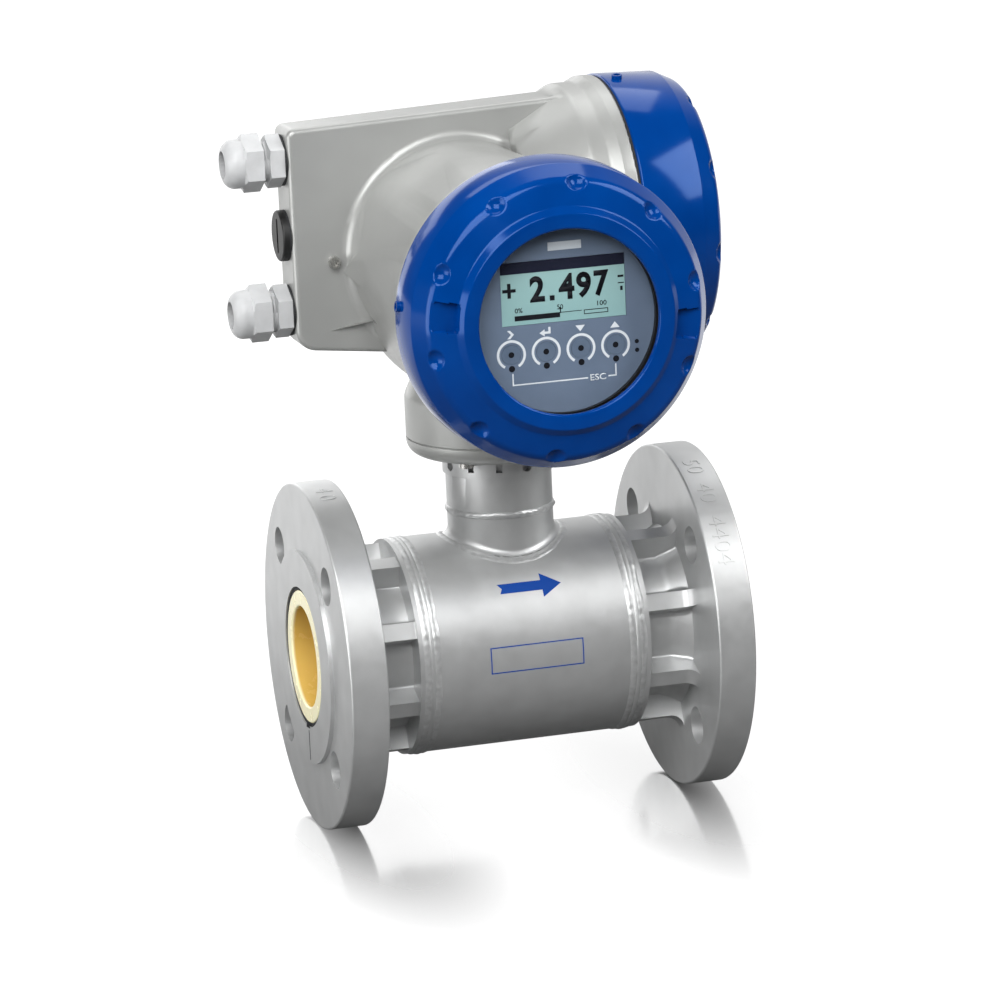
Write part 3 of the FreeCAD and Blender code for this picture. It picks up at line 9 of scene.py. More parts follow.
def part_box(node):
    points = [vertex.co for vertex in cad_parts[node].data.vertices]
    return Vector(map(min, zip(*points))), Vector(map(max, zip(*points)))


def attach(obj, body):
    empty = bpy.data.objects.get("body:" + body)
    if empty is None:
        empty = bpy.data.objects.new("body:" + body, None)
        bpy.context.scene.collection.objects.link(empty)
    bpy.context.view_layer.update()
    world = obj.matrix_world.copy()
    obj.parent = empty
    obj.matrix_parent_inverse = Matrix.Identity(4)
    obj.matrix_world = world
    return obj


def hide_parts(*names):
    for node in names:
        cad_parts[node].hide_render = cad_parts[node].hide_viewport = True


# Electromagnetic flow meter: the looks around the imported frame, in metres.
# +X is the flow direction, -Y the display side, +Z up.

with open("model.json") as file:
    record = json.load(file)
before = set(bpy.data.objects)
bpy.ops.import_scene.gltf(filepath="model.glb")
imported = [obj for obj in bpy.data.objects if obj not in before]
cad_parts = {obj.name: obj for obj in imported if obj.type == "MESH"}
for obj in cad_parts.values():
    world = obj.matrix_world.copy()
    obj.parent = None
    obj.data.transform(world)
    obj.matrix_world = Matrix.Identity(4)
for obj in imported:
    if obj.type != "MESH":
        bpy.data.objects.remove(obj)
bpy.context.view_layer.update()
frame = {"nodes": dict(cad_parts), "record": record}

MM = 0.001

# Main places, read from the frame

flange_low, flange_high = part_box("inlet_flange")
tube_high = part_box("measuring_tube")[1]
panel_low, panel_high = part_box("display_panel")
screen_low, screen_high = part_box("lcd_module")
keys_low, keys_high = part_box("key_windows")

flange_radius = flange_high.z
flange_middle = abs(flange_low.x + flange_high.x) / 2
drum_axis = (panel_low + panel_high) / 2
cover_rim = Vector((drum_axis.x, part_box("front_cover")[1].y, drum_axis.z))
side_seal_low, side_seal_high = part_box("side_cover_seal")
side_axis = (side_seal_low + side_seal_high) / 2
side_rim = Vector((side_seal_high.x, side_axis.y, side_axis.z))

# Sizes that several pieces share

CASING_RADIUS = 51.5 * MM
NECK_RADIUS = 25.25 * MM
PLATE_RISE = 0.05 * MM
STRIP_WIDTH = 1 * MM
GLANDS = ("upper_gland", "lower_gland")


# Colours and materials

def linear(code):
    """Turn an sRGB hex colour into linear red, green, blue and alpha."""
    channels = [int(code[i:i + 2], 16) / 255 for i in (1, 3, 5)]
    return [c / 12.92 if c <= 0.04045 else ((c + 0.055) / 1.055) ** 2.4 for c in channels] + [1]


def new_material(name, colour, roughness, **sockets):
    """Start a material on its shader, with the values that are the same all over."""
    material = bpy.data.materials.new(name)
    material.use_nodes = True
    shader = material.node_tree.nodes["Principled BSDF"]
    shader.inputs["Base Color"].default_value = linear(colour)
    shader.inputs["Roughness"].default_value = roughness
    for socket, value in sockets.items():
        shader.inputs[socket.replace("_", " ")].default_value = value
    return material


def add_node(tree, kind, sockets, **settings):
    """Add a node with its settings; a socket takes a value or another node's output."""
    node = tree.nodes.new(kind)
    for name, value in settings.items():
        setattr(node, name, value)
    for name, value in sockets.items():
        if isinstance(value, bpy.types.NodeSocket):
            tree.links.new(value, node.inputs[name])
        else:
            node.inputs[name].default_value = value
    return node


def feed(material, output, socket):
    """Link an output to a socket of the material's shader."""
    shader = material.node_tree.nodes["Principled BSDF"]
    material.node_tree.links.new(output, shader.inputs[socket])


def object_place(material):
    """The place on the piece, in metres."""
    return add_node(material.node_tree, "ShaderNodeTexCoord", {}).outputs["Object"]


def along(material, axis):
    """The place on the piece along one axis, in metres."""
    return add_node(material.node_tree, "ShaderNodeSeparateXYZ", {
        "Vector": object_place(material)}).outputs[axis]


def grain(material, size_mm, detail=4.0):
    """Noise whose lumps are about size_mm across."""
    return add_node(material.node_tree, "ShaderNodeTexNoise", {
        "Vector": object_place(material), "Scale": 1 / (size_mm * MM), "Detail": detail,
        "Roughness": 0.55,
    }).outputs["Fac"]


def tint(material, factor, low, high, start=0.3, end=0.7):
    """Colours that follow a factor from low to high."""
    ramp = add_node(material.node_tree, "ShaderNodeValToRGB", {"Fac": factor})
    ramp.color_ramp.elements[0].position = start
    ramp.color_ramp.elements[0].color = linear(low)
    ramp.color_ramp.elements[1].position = end
    ramp.color_ramp.elements[1].color = linear(high)
    return ramp.outputs["Color"]


def spread(material, factor, low, high, start=0.25, end=0.75):
    """A number that follows a factor from low to high."""
    return add_node(material.node_tree, "ShaderNodeMapRange", {
        "Value": factor, "From Min": start, "From Max": end, "To Min": low, "To Max": high,
    }).outputs["Result"]


def bump(material, height, depth_mm, strength):
    """Relief of a height pattern."""
    relief = add_node(material.node_tree, "ShaderNodeBump", {
        "Height": height, "Distance": depth_mm * MM, "Strength": strength,
    })
    feed(material, relief.outputs["Normal"], "Normal")


def blasted_steel():
    """Stainless steel, glass bead blasted: an even silver grey with a soft broad shine."""
    material = new_material("blasted_stainless_steel", "#c8c9c9", 0.44, Metallic=0.75)
    feed(material, tint(material, grain(material, 16), "#c3c4c4", "#cecfcf"), "Base Color")
    feed(material, spread(material, grain(material, 4), 0.4, 0.48), "Roughness")
    bump(material, grain(material, 0.6, 6), 0.02, 0.5)
    return material


def weld_steel():
    """Weld metal left as laid: shinier than the blasted steel round it, and rippled."""
    material = new_material("weld_metal", "#cbcac7", 0.4, Metallic=0.65)
    feed(material, tint(material, grain(material, 3), "#b8b9b9", "#cecfcf"), "Base Color")
    bump(material, grain(material, 1.4, 4), 0.05, 0.5)
    return material


def housing_coat():
    """Polyester powder coat on die cast aluminium: silver grey, faint orange peel."""
    material = new_material("silver_powder_coat", "#a0a19f", 0.36, Metallic=0.35)
    feed(material, tint(material, grain(material, 40, 2), "#9c9d9b", "#a5a6a4"), "Base Color")
    feed(material, spread(material, grain(material, 6), 0.32, 0.4), "Roughness")
    bump(material, grain(material, 1.6, 3), 0.018, 0.5)
    return material


def blue_coat():
    """Gloss polyurethane on die cast aluminium: deep blue with a wet shine of bluish pigment."""
    material = new_material("blue_gloss_coat", "#00377c", 0.12, Specular_IOR_Level=0.4,
                            Specular_Tint=linear("#9fc4ff"))
    feed(material, tint(material, grain(material, 25, 2), "#003379", "#003983"), "Base Color")
    bump(material, grain(material, 5, 2), 0.02, 0.3)
    return material


def ceramic():
    """Sintered and polished oxide ceramic: warm yellow in the bore, cream on the ground end."""
    material = new_material("polished_oxide_ceramic", "#e0b54a", 0.24, Subsurface_Weight=0.15,
                            Subsurface_Radius=(0.004, 0.003, 0.0015))
    reach = add_node(material.node_tree, "ShaderNodeMath", {0: along(material, "X")},
                     operation="ABSOLUTE").outputs["Value"]
    end = spread(material, reach, 0, 1, tube_high.x - 2 * MM, tube_high.x - 0.3 * MM)
    feed(material, tint(material, end, "#e0ba60", "#f6eec4", 0.1, 0.9), "Base Color")
    feed(material, spread(material, grain(material, 5), 0.2, 0.3), "Roughness")
    return material


def rubber():
    """Moulded nitrile rubber: black with a dull bloom."""
    material = new_material("moulded_nitrile_rubber", "#191a1c", 0.7)
    feed(material, tint(material, grain(material, 2), "#141517", "#222326"), "Base Color")
    bump(material, grain(material, 0.5), 0.02, 0.5)
    return material


def grey_polyamide():
    """Moulded grey polyamide: half matt, with a fine spark eroded texture."""
    material = new_material("grey_polyamide", "#b9babb", 0.4)
    feed(material, tint(material, grain(material, 8), "#b3b4b5", "#bebfc0"), "Base Color")
    bump(material, grain(material, 0.4), 0.012, 0.6)
    return material


def black_polyamide():
    """Moulded black polyamide: almost black, half matt."""
    material = new_material("black_polyamide", "#0b0b0c", 0.5)
    feed(material, tint(material, grain(material, 4), "#090909", "#121213"), "Base Color")
    bump(material, grain(material, 0.5), 0.02, 0.6)
    return material


def display_film():
    """Back printed polyester film: slate grey with a fine matt surface."""
    material = new_material("printed_polyester_film", "#66758a", 0.5, Specular_IOR_Level=0.3)
    feed(material, tint(material, grain(material, 18, 2), "#637287", "#69788d"), "Base Color")
    bump(material, grain(material, 0.35), 0.008, 0.5)
    return material


def smoked_lens():
    """Smoked acrylic light guide of an optical key: a shade darker and glossier than the film."""
    material = new_material("smoked_acrylic", "#5f6e82", 0.3, Specular_IOR_Level=0.3)
    feed(material, tint(material, grain(material, 6, 2), "#5c6b7f", "#627185"), "Base Color")
    return material


def liquid_crystal():
    """Transflective screen: pale green blue, a little brighter towards its lamp at the top."""
    material = new_material("transflective_screen", "#93b9b9", 0.3)
    rise = spread(material, along(material, "Z"), 0, 1, screen_low.z, screen_high.z)
    feed(material, tint(material, rise, "#8db3b4", "#9dc2c1", 0, 1), "Base Color")
    return material


def ink(name, colour):
    """Screen printed ink, the black one also used for the painted shade in the earth groove: flat and
    half matt, slightly uneven.
    """
    material = new_material(name, colour, 0.6, Specular_IOR_Level=0.15)
    bump(material, grain(material, 0.4), 0.005, 0.5)
    return material


def window_pane():
    """Toughened float glass: clear, seen mostly by its shine."""
    return new_material("toughened_glass", "#0c1010", 0.02, Alpha=0.03, Specular_IOR_Level=0.3)


def bright_steel():
    """Turned and passivated stainless steel of small screws: bright, with uneven shine."""
    material = new_material("turned_stainless_steel", "#c9c8c4", 0.28, Metallic=1.0)
    feed(material, spread(material, grain(material, 0.8), 0.22, 0.36), "Roughness")
    return material


def dark_iron():
    """Annealed soft iron with an oxide skin: dark and patchy."""
    material = new_material("annealed_iron", "#55524e", 0.55, Metallic=0.8)
    feed(material, tint(material, grain(material, 5), "#4a4744", "#625f5a"), "Base Color")
    return material


def copper_winding():
    """Enamelled copper wire, wound in even layers: red brown and glossy."""
    material = new_material("enamelled_copper", "#a4592c", 0.35, Metallic=0.9)
    feed(material, tint(material, grain(material, 1.2), "#8d4a22", "#b96a38"), "Base Color")
    return material


def board_laminate():
    """Epoxy glass board under green solder resist: deep green with paler patches."""
    material = new_material("green_solder_resist", "#1e5a3a", 0.35)
    feed(material, tint(material, grain(material, 3), "#184d31", "#236645"), "Base Color")
    return material


MAKERS = {
    "sensor_steel": blasted_steel, "ceramic": ceramic, "seal_rubber": rubber,
    "housing_paint": housing_coat, "cover_paint": blue_coat, "window": window_pane,
    "panel": display_film, "screen": liquid_crystal, "key_light": smoked_lens,
    "board": board_laminate, "inner_plastic": black_polyamide, "gland_plastic": grey_polyamide,
    "plug_plastic": black_polyamide, "small_steel": bright_steel, "iron": dark_iron,
    "copper": copper_winding, "terminal_plastic": grey_polyamide, "lead_sheath": rubber,
}
made = {maker: maker() for maker in dict.fromkeys(MAKERS.values())}
weld_metal = weld_steel()
black_ink_and_groove_shade = ink("black_segments_and_painted_groove_shade", "#15161c")
header_ink = ink("dark_screen_header", "#1c1f31")
white_ink = ink("white_screen_ink", "#d9dfe4")
pale_ink = ink("pale_grey_screen_ink", "#ccd4db")
blue_ink = ink("blue_marking_enamel", "#0b3f92")

slot_of = {part["node"]: part["material_slot"] for part in frame["record"]["subparts"]}
body_of = {node: body for body, nodes in frame["record"]["behaviour"]["bodies"].items()
           for node in nodes}

for name, piece in frame["nodes"].items():
    for slot in piece.material_slots:
        slot.material = made[MAKERS[slot_of[name]]]


# The floor, light and camera

def photo_camera():
    """Camera at the photographed angle: turned, raised and rolled about the flow meter."""
    turn, rise, roll = math.radians(-15.844), math.radians(13.094), math.radians(-2.594)
    shift_right, shift_up, distance = 6.753 * MM, -67.653 * MM, 2299.5 * MM
    sensor, focal_pixels, frame_pixels = 36, 4808, 983
    back = Vector((
        math.sin(turn) * math.cos(rise), -math.cos(turn) * math.cos(rise), math.sin(rise)))
    right = (-back).cross(Vector((0, 0, 1))).normalized()
    up = right.cross(-back)
    tilted_right = math.cos(roll) * right + math.sin(roll) * up
    tilted_up = -math.sin(roll) * right + math.cos(roll) * up
    place = distance * back - shift_right * tilted_right - shift_up * tilted_up
    data = bpy.data.cameras.new("camera")
    data.sensor_width = sensor
    data.lens = focal_pixels / frame_pixels * sensor
    data.clip_end = 20
    camera = bpy.data.objects.new("camera", data)
    rotation = Matrix((tilted_right, tilted_up, back)).transposed().to_4x4()
    camera.matrix_world = Matrix.Translation(place) @ rotation
    bpy.context.collection.objects.link(camera)
    bpy.context.scene.camera = camera


def area_light(name, place, width, height, power):
    """A softbox aimed at the middle of the flow meter."""
    middle = Vector((0, 0, 80 * MM))
    data = bpy.data.lights.new(name, "AREA")
    data.shape = "RECTANGLE"
    data.size = width
    data.size_y = height
    data.energy = power
    lamp = bpy.data.objects.new(name, data)
    aim = (middle - Vector(place)).to_track_quat("-Z", "Y")
    lamp.matrix_world = Matrix.Translation(Vector(place)) @ aim.to_matrix().to_4x4()
    bpy.context.collection.objects.link(lamp)


def surround():
    """Surround that is white to the camera, dim from overhead, and bright behind to shiny faces."""
    world = bpy.data.worlds.new("studio")
    bpy.context.scene.world = world
    world.use_nodes = True
    tree = world.node_tree
    across = add_node(tree, "ShaderNodeTexCoord", {}).outputs["Generated"]
    parts = add_node(tree, "ShaderNodeSeparateXYZ", {"Vector": across})
    path = add_node(tree, "ShaderNodeLightPath", {})
    overhead = add_node(tree, "ShaderNodeMapRange", {
        "Value": parts.outputs["Z"], "From Max": 1.0, "To Min": 0.03, "To Max": 0.3})
    behind = add_node(tree, "ShaderNodeMapRange", {
        "Value": parts.outputs["Y"], "From Min": 0.2, "From Max": 0.8,
        "To Min": 0.03, "To Max": 0.9})
    right = add_node(tree, "ShaderNodeMapRange", {
        "Value": parts.outputs["X"], "From Min": -0.2, "From Max": 0.15,
        "To Min": 0.1, "To Max": 1.0})
    sweep = add_node(tree, "ShaderNodeMath", {
        0: behind.outputs["Result"], 1: right.outputs["Result"]}, operation="MULTIPLY")
    white, fill, backdrop = (
        add_node(tree, "ShaderNodeBackground", {"Color": (1, 1, 1, 1), "Strength": strength})
        for strength in (1.0, overhead.outputs["Result"], sweep.outputs["Value"]))
    lit = add_node(tree, "ShaderNodeMixShader", {
        0: path.outputs["Is Glossy Ray"], 1: fill.outputs[0], 2: backdrop.outputs[0]})
    seen = add_node(tree, "ShaderNodeMixShader", {
        0: path.outputs["Is Camera Ray"], 1: lit.outputs[0], 2: white.outputs[0]})
    tree.links.new(seen.outputs[0], tree.nodes["World Output"].inputs["Surface"])


def paper_sweep():
    """White paper sweep: pale and matt, with a painted reflection at the feet of the two flanges,
    where the camera alone sees the paper as a mirror.
    """
    reflection_pool_width, reflection_pool_reach, glow_near, glow_far = 55 * MM, 190 * MM, 0.3, 1.1
    paper = new_material("white_paper_sweep", "#5c5c5c", 0.5)
    tree = paper.node_tree
    place = object_place(paper)
    offset = add_node(tree, "ShaderNodeVectorMath", {0: place}, operation="LENGTH").outputs["Value"]
    spot = add_node(tree, "ShaderNodeSeparateXYZ", {"Vector": place}).outputs
    path = add_node(tree, "ShaderNodeLightPath", {})
    mirrored = add_node(tree, "ShaderNodeMath", {
        0: path.outputs["Is Glossy Ray"], 1: spread(paper, spot["Y"], 0, 1, 0.12, 0.5)},
        operation="MULTIPLY")
    seen = add_node(tree, "ShaderNodeMath", {
        0: path.outputs["Is Camera Ray"], 1: mirrored.outputs["Value"]}, operation="MAXIMUM")
    strength = add_node(tree, "ShaderNodeMath", {
        0: seen.outputs["Value"], 1: spread(paper, offset, 0.86, 0.97, glow_near, glow_far)},
        operation="MULTIPLY")
    glow = add_node(tree, "ShaderNodeEmission", {"Strength": strength.outputs["Value"]})
    matt = add_node(tree, "ShaderNodeAddShader", {
        0: tree.nodes["Principled BSDF"].outputs[0], 1: glow.outputs[0]})
    # Painted reflection: in a pool beside and before each flange foot the camera alone sees a mirror,
    # so the flanges' dark undersides show there as smears.
    beside = add_node(tree, "ShaderNodeMath", {0: spot["X"]}, operation="ABSOLUTE")
    from_flange = add_node(tree, "ShaderNodeMapRange", {
        "Value": beside.outputs["Value"], "From Min": flange_middle,
        "From Max": flange_middle + reflection_pool_width, "To Min": 0.0, "To Max": 1.0}, clamp=False)
    ahead = add_node(tree, "ShaderNodeMath", {
        0: spot["Y"], 1: 1 / reflection_pool_reach}, operation="MULTIPLY")
    pool = add_node(tree, "ShaderNodeCombineXYZ", {
        "X": from_flange.outputs["Result"], "Y": ahead.outputs["Value"]})
    reach = add_node(tree, "ShaderNodeVectorMath", {0: pool.outputs["Vector"]}, operation="LENGTH")
    painted_reflection_mask = add_node(tree, "ShaderNodeMath", {
        0: path.outputs["Is Camera Ray"], 1: spread(paper, reach.outputs["Value"], 1, 0, 0.02, 1)},
        operation="MULTIPLY")
    mirror = add_node(tree, "ShaderNodeBsdfGlossy", {"Color": (1, 1, 1, 1), "Roughness": 0.14})
    # The paper is matt outside the pools and a painted mirror reflection inside them.
    polished = add_node(tree, "ShaderNodeMixShader", {
        0: painted_reflection_mask.outputs["Value"], 1: matt.outputs[0], 2: mirror.outputs[0]})
    tree.links.new(polished.outputs[0], tree.nodes["Material Output"].inputs["Surface"])
    return paper


def lay_floor():
    """Plain floor that the flanges stand on."""
    mesh = bpy.data.meshes.new("floor")
    sheet = bmesh.new()
    bmesh.ops.create_grid(sheet, x_segments=1, y_segments=1, size=8)
    bmesh.ops.translate(sheet, verts=sheet.verts, vec=(0, 0, -flange_radius))
    sheet.to_mesh(mesh)
    sheet.free()
    floor = bpy.data.objects.new("floor", mesh)
    floor.data.materials.append(paper_sweep())
    bpy.context.collection.objects.link(floor)


# Name, place, width, height and power of each softbox
SOFTBOXES = (
    ("key_light", (-0.6, -1.25, 1.25), 1.4, 1.2, 36),
    ("top_light", (0.1, 0.7, 1.5), 1.4, 0.8, 8),
    ("right_light", (1.2, -0.85, 1.1), 0.9, 1.0, 19),
    ("back_light", (-0.3, 1.6, 0.5), 1.2, 1.0, 7),
    ("left_light", (-1.25, -0.3, 0.05), 0.9, 0.9, 13),
)

bpy.context.scene.view_settings.view_transform = "Standard"
photo_camera()
surround()
lay_floor()
for softbox in SOFTBOXES:
    area_light(*softbox)


# Forms

def add_piece(name, form, material, body, slot=None, replaced=()):
    """Hang a finished mesh on its body; the slot argument is not used, and ink and shade are passed
    none.
    """
    mesh = bpy.data.meshes.new(name)
    form.to_mesh(mesh)
    form.free()
    piece = bpy.data.objects.new(name, mesh)
    bpy.context.collection.objects.link(piece)
    mesh.materials.append(material)
    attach(piece, body)
    if replaced:
        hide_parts(*replaced)
    return piece


def smooth(piece, degrees):
    """Shade a piece smooth except over its sharp edges."""
    piece.data.polygons.foreach_set("use_smooth", [True] * len(piece.data.polygons))
    piece.data.set_sharp_from_angle(angle=math.radians(degrees))


def skin(node, material=None, flatness=0.2, weight=100, degrees=30, stray=None):
    """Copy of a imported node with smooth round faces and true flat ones, without its stray faces."""
    form = bmesh.new()
    form.from_mesh(frame["nodes"][node].data)
    if stray:
        bmesh.ops.delete(
            form, geom=[face for face in form.faces if stray(face)], context="FACES_ONLY")
    bmesh.ops.remove_doubles(form, verts=form.verts, dist=0.002 * MM)
    if flatness:
        bmesh.ops.dissolve_limit(
            form, angle_limit=math.radians(flatness), verts=form.verts, edges=form.edges,
            delimit={"NORMAL"})
    bmesh.ops.recalc_face_normals(form, faces=form.faces)
    slot = slot_of[node]
    piece = add_piece(
        f"{node}_skin", form, material or made[MAKERS[slot]], body_of[node], slot, (node,))
    smooth(piece, degrees)
    weights = piece.modifiers.new("large_faces_lead", "WEIGHTED_NORMAL")
    weights.weight = weight
    weights.keep_sharp = True


def pokes_through_channel(face):
    """True for the few faces that run from the channel's inside out through its front wall."""
    wall_outside, wall_inside = 1.9 * MM, 4 * MM
    depths = [corner.co.y for corner in face.verts]
    return face.normal.y > 0.5 and min(depths) < wall_outside and max(depths) > wall_inside


def rounded(corners):
    """Outline of (radius, height, round) corners; runs on the pressed face are cut into steps."""
    arc_steps, run_step, pressed_radius, pressed_height = 8, 0.55, 46.5, 20
    points = []
    for i, (across, up, *round_radius) in enumerate(corners):
        corner = Vector((across, up))
        if not round_radius:
            points.append(corner)
            continue
        before = (Vector(corners[i - 1][:2]) - corner).normalized()
        after = (Vector(corners[i + 1][:2]) - corner).normalized()
        half = before.angle(after) / 2
        middle = corner + (before + after).normalized() * (round_radius[0] / math.sin(half))
        reach = round_radius[0] / math.tan(half)
        low, high = corner + before * reach - middle, corner + after * reach - middle
        points += [middle + low.slerp(high, k / arc_steps).normalized() * round_radius[0]
                   for k in range(arc_steps + 1)]
    outline = [points[0]]
    for point in points[1:]:
        start = outline[-1]
        pressed = min(start.x, point.x) > pressed_radius and min(start.y, point.y) > pressed_height
        pieces = max(1, math.ceil((point - start).length / run_step)) if pressed else 1
        outline += [start.lerp(point, k / pieces) for k in range(1, pieces + 1)]
    return outline


def cover(node, corners, face, turn, place):
    """Screwed cover, in millimetres: a turned form with its pits and grip notches pressed in."""
    round_steps, pressed_radius, pressed_height = 540, 50, face - 8
    pit_place, pit_sink, pit_radius, pit_pitch = 64.25, 0.7, 5.6, 36
    lean = Vector((0.62, 0.78)).normalized()
    notch_inside, notch_half, notch_floor = 51, 6.5, face - 3.8
    outline = rounded(corners)
    form = bmesh.new()
    line = [form.verts.new((point.x, 0, point.y)) for point in outline]
    pairs = list(zip(line, line[1:]))
    if outline[0].x > 0:
        pairs.append((line[-1], line[0]))
    edges = [form.edges.new(pair) for pair in pairs]
    bmesh.ops.spin(form, geom=line + edges, axis=(0, 0, 1), cent=(0, 0, 0), angle=math.tau,
                   steps=round_steps, use_merge=True)
    bmesh.ops.remove_doubles(form, verts=form.verts, dist=0.001)
    for corner in form.verts:
        x, y, z = corner.co
        radius = math.hypot(x, y)
        if z < pressed_height or radius < pressed_radius:
            continue
        if abs(y) < notch_half and abs(x) > notch_inside:
            corner.co.z = min(z, notch_floor)
            continue
        turned = math.atan2(y, x)
        nearest = pit_pitch * (math.floor(math.degrees(turned) / pit_pitch) + 0.5)
        aside = turned - math.radians(nearest)
        offset = Vector((radius * math.cos(aside) - pit_place, z - face + pit_sink))
        height = offset.dot(lean)
        across = math.hypot(radius * math.sin(aside), offset.cross(lean))
        if across >= pit_radius or height < -math.sqrt(pit_radius ** 2 - across ** 2):
            continue
        drop = height + math.sqrt(pit_radius ** 2 - across ** 2)
        outward = radius - drop * lean.x
        corner.co = Vector((
            outward * math.cos(turned), outward * math.sin(turned), z - drop * lean.y))
    own_turn = Matrix.Rotation(math.radians(turn), 3, "Z")
    for corner in form.verts:
        corner.co = place(own_turn @ corner.co * MM)
    bmesh.ops.recalc_face_normals(form, faces=form.faces)
    slot = slot_of[node]
    smooth(add_piece(f"{node}_shell", form, made[blue_coat], body_of[node], slot, (node,)), 40)


def mapped_grid(form, rows, columns, place):
    """Add a grid whose corner in row i and column j lies at place(i, j)."""
    corners = bmesh.ops.create_grid(form, x_segments=rows, y_segments=columns, size=1)["verts"]
    for corner in corners:
        i = round((corner.co.x + 1) / 2 * rows)
        j = round((corner.co.y + 1) / 2 * columns)
        corner.co = place(i, j)


def bead(name, path, rows, width, height, ripples):
    """Closed weld bead: path(t) gives a point, the way across and the way out."""
    root, wander_scale, lump_scale = -0.5 * MM, 160, 260
    section = [(-1, root)] + [(u / 4, None) for u in range(-4, 5)] + [(1, root)]

    def place(i, j):
        """Corner of the bead: row i round the path, column j over its section."""
        t = (i % rows) / rows
        point, side, out = path(t)
        u, up = section[j % len(section)]
        wander = noise.noise(point * wander_scale + Vector((7, 3, 1)))
        if up is None:
            wave = 0.86 + 0.14 * math.cos(math.tau * (ripples * t + 0.45 * u * u))
            lump = 1 + 0.45 * noise.noise(point * lump_scale)
            up = height * (1 - u * u) * wave * lump
        across = u * width / 2 * (1 + 0.18 * wander) + 0.25 * MM * wander
        return point + side * across + out * up

    form = bmesh.new()
    mapped_grid(form, rows, len(section), place)
    bmesh.ops.remove_doubles(form, verts=form.verts, dist=0.001 * MM)
    bmesh.ops.recalc_face_normals(form, faces=form.faces)
    smooth(add_piece(name, form, weld_metal, "root", "sensor_steel"), 60)


def plates(form, outlines, thickness):
    """Add flat plates from outlines in the XY plane, their backs at z = 0."""
    for outline in outlines:
        face = form.faces.new([form.verts.new((x, y, 0)) for x, y in outline])
        lifted = bmesh.ops.extrude_face_region(form, geom=[face])["geom"]
        bmesh.ops.translate(
            form, verts=[v for v in lifted if isinstance(v, bmesh.types.BMVert)],
            vec=(0, 0, thickness))


def bar(x0, y0, x1, y1):
    """Outline of an upright rectangle."""
    return [(x0, y0), (x1, y0), (x1, y1), (x0, y1)]


def frame_bars(x0, y0, x1, y1, stroke):
    """Four bars that make an outlined box."""
    return [bar(x0, y0, x1, y0 + stroke), bar(x0, y1 - stroke, x1, y1),
            bar(x0, y0 + stroke, x0 + stroke, y1 - stroke),
            bar(x1 - stroke, y0 + stroke, x1, y1 - stroke)]


def disc(x, y, radius):
    """Outline of a round dot."""
    steps = 24
    turns = [math.tau * i / steps for i in range(steps)]
    return [(x + radius * math.cos(a), y + radius * math.sin(a)) for a in turns]


def open_ring(x, y, radius, stroke, gap_degrees):
    """Short bars along a ring that is open at the bottom."""
    steps = 36
    start = math.radians(-90 + gap_degrees / 2)
    sweep = math.radians(360 - gap_degrees)
    inner = radius - stroke
    turns = [start + sweep * i / steps for i in range(steps + 1)]
    return [[(x + r * math.cos(a), y + r * math.sin(a))
             for r, a in ((inner, low), (radius, low), (radius, high), (inner, high))]
            for low, high in zip(turns, turns[1:])]


def lettering(form, text, height, width, centre, weight, thickness):
    """Add words as plates of a given size about a centre."""
    curve = bpy.data.curves.new("lettering", "FONT")
    curve.body = text
    curve.offset = weight
    curve.resolution_u = 4
    carrier = bpy.data.objects.new("lettering", curve)
    bpy.context.collection.objects.link(carrier)
    ready = carrier.evaluated_get(bpy.context.evaluated_depsgraph_get())
    flat = bpy.data.meshes.new_from_object(ready)
    bpy.data.objects.remove(carrier)
    words = bmesh.new()
    words.from_mesh(flat)
    bpy.data.meshes.remove(flat)
    bmesh.ops.remove_doubles(words, verts=words.verts, dist=1e-5)
    low = Vector((min(v.co.x for v in words.verts), min(v.co.y for v in words.verts), 0))
    high = Vector((max(v.co.x for v in words.verts), max(v.co.y for v in words.verts), 0))
    for corner in words.verts:
        across = (corner.co.x - low.x) / (high.x - low.x) - 0.5
        up = (corner.co.y - low.y) / (high.y - low.y) - 0.5
        corner.co = Vector((centre[0] + across * width, centre[1] + up * height, 0))
    for face in words.faces:
        if face.normal.z < 0:
            face.normal_flip()
    lifted = bmesh.ops.extrude_face_region(words, geom=words.faces[:])["geom"]
    bmesh.ops.translate(
        words, verts=[v for v in lifted if isinstance(v, bmesh.types.BMVert)],
        vec=(0, 0, thickness))
    joined = bpy.data.meshes.new("lettering")
    words.to_mesh(joined)
    words.free()
    form.from_mesh(joined)
    bpy.data.meshes.remove(joined)


def slice_across(form, axis, step):
    """Cut a form into strips so that it can follow a curve."""
    low = min(v.co[axis] for v in form.verts)
    high = max(v.co[axis] for v in form.verts)
    normal = Vector((0, 0, 0))
    normal[axis] = 1
    for i in range(1, math.ceil((high - low) / step)):
        bmesh.ops.bisect_plane(
            form, geom=form.verts[:] + form.edges[:] + form.faces[:], dist=1e-7,
            plane_co=normal * (low + i * step), plane_no=normal)


def lay(form, place):
    """Move every corner to its place on the flow meter and turn the faces outward."""
    for corner in form.verts:
        corner.co = place(*corner.co)
    bmesh.ops.recalc_face_normals(form, faces=form.faces)


def on_face(front):
    """Places on a plane that faces the display side, from the middle of the display."""
    return lambda x, y, z: Vector((drum_axis.x + x, front - z, drum_axis.z + y))


def on_casing(x, y, z):
    """Places on the casing: x along the flow, y round it from the front, upward."""
    radius = CASING_RADIUS + z
    return Vector((x, -radius * math.cos(y / CASING_RADIUS), radius * math.sin(y / CASING_RADIUS)))


def on_rim(start, middle):
    """Places on a flange rim: x runs down round it from an angle, y along the flow."""
    def place(x, y, z):
        turn = math.radians(start) - x / flange_radius
        radius = flange_radius + z
        return Vector((middle + y, -radius * math.cos(turn), radius * math.sin(turn)))
    return place


def on_end(x, y, z):
    """Places on the inlet's raised face: x towards the back, y upward."""
    return Vector((flange_low.x - z, x, y))


# Metal and mouldings, smooth where the solids are faceted

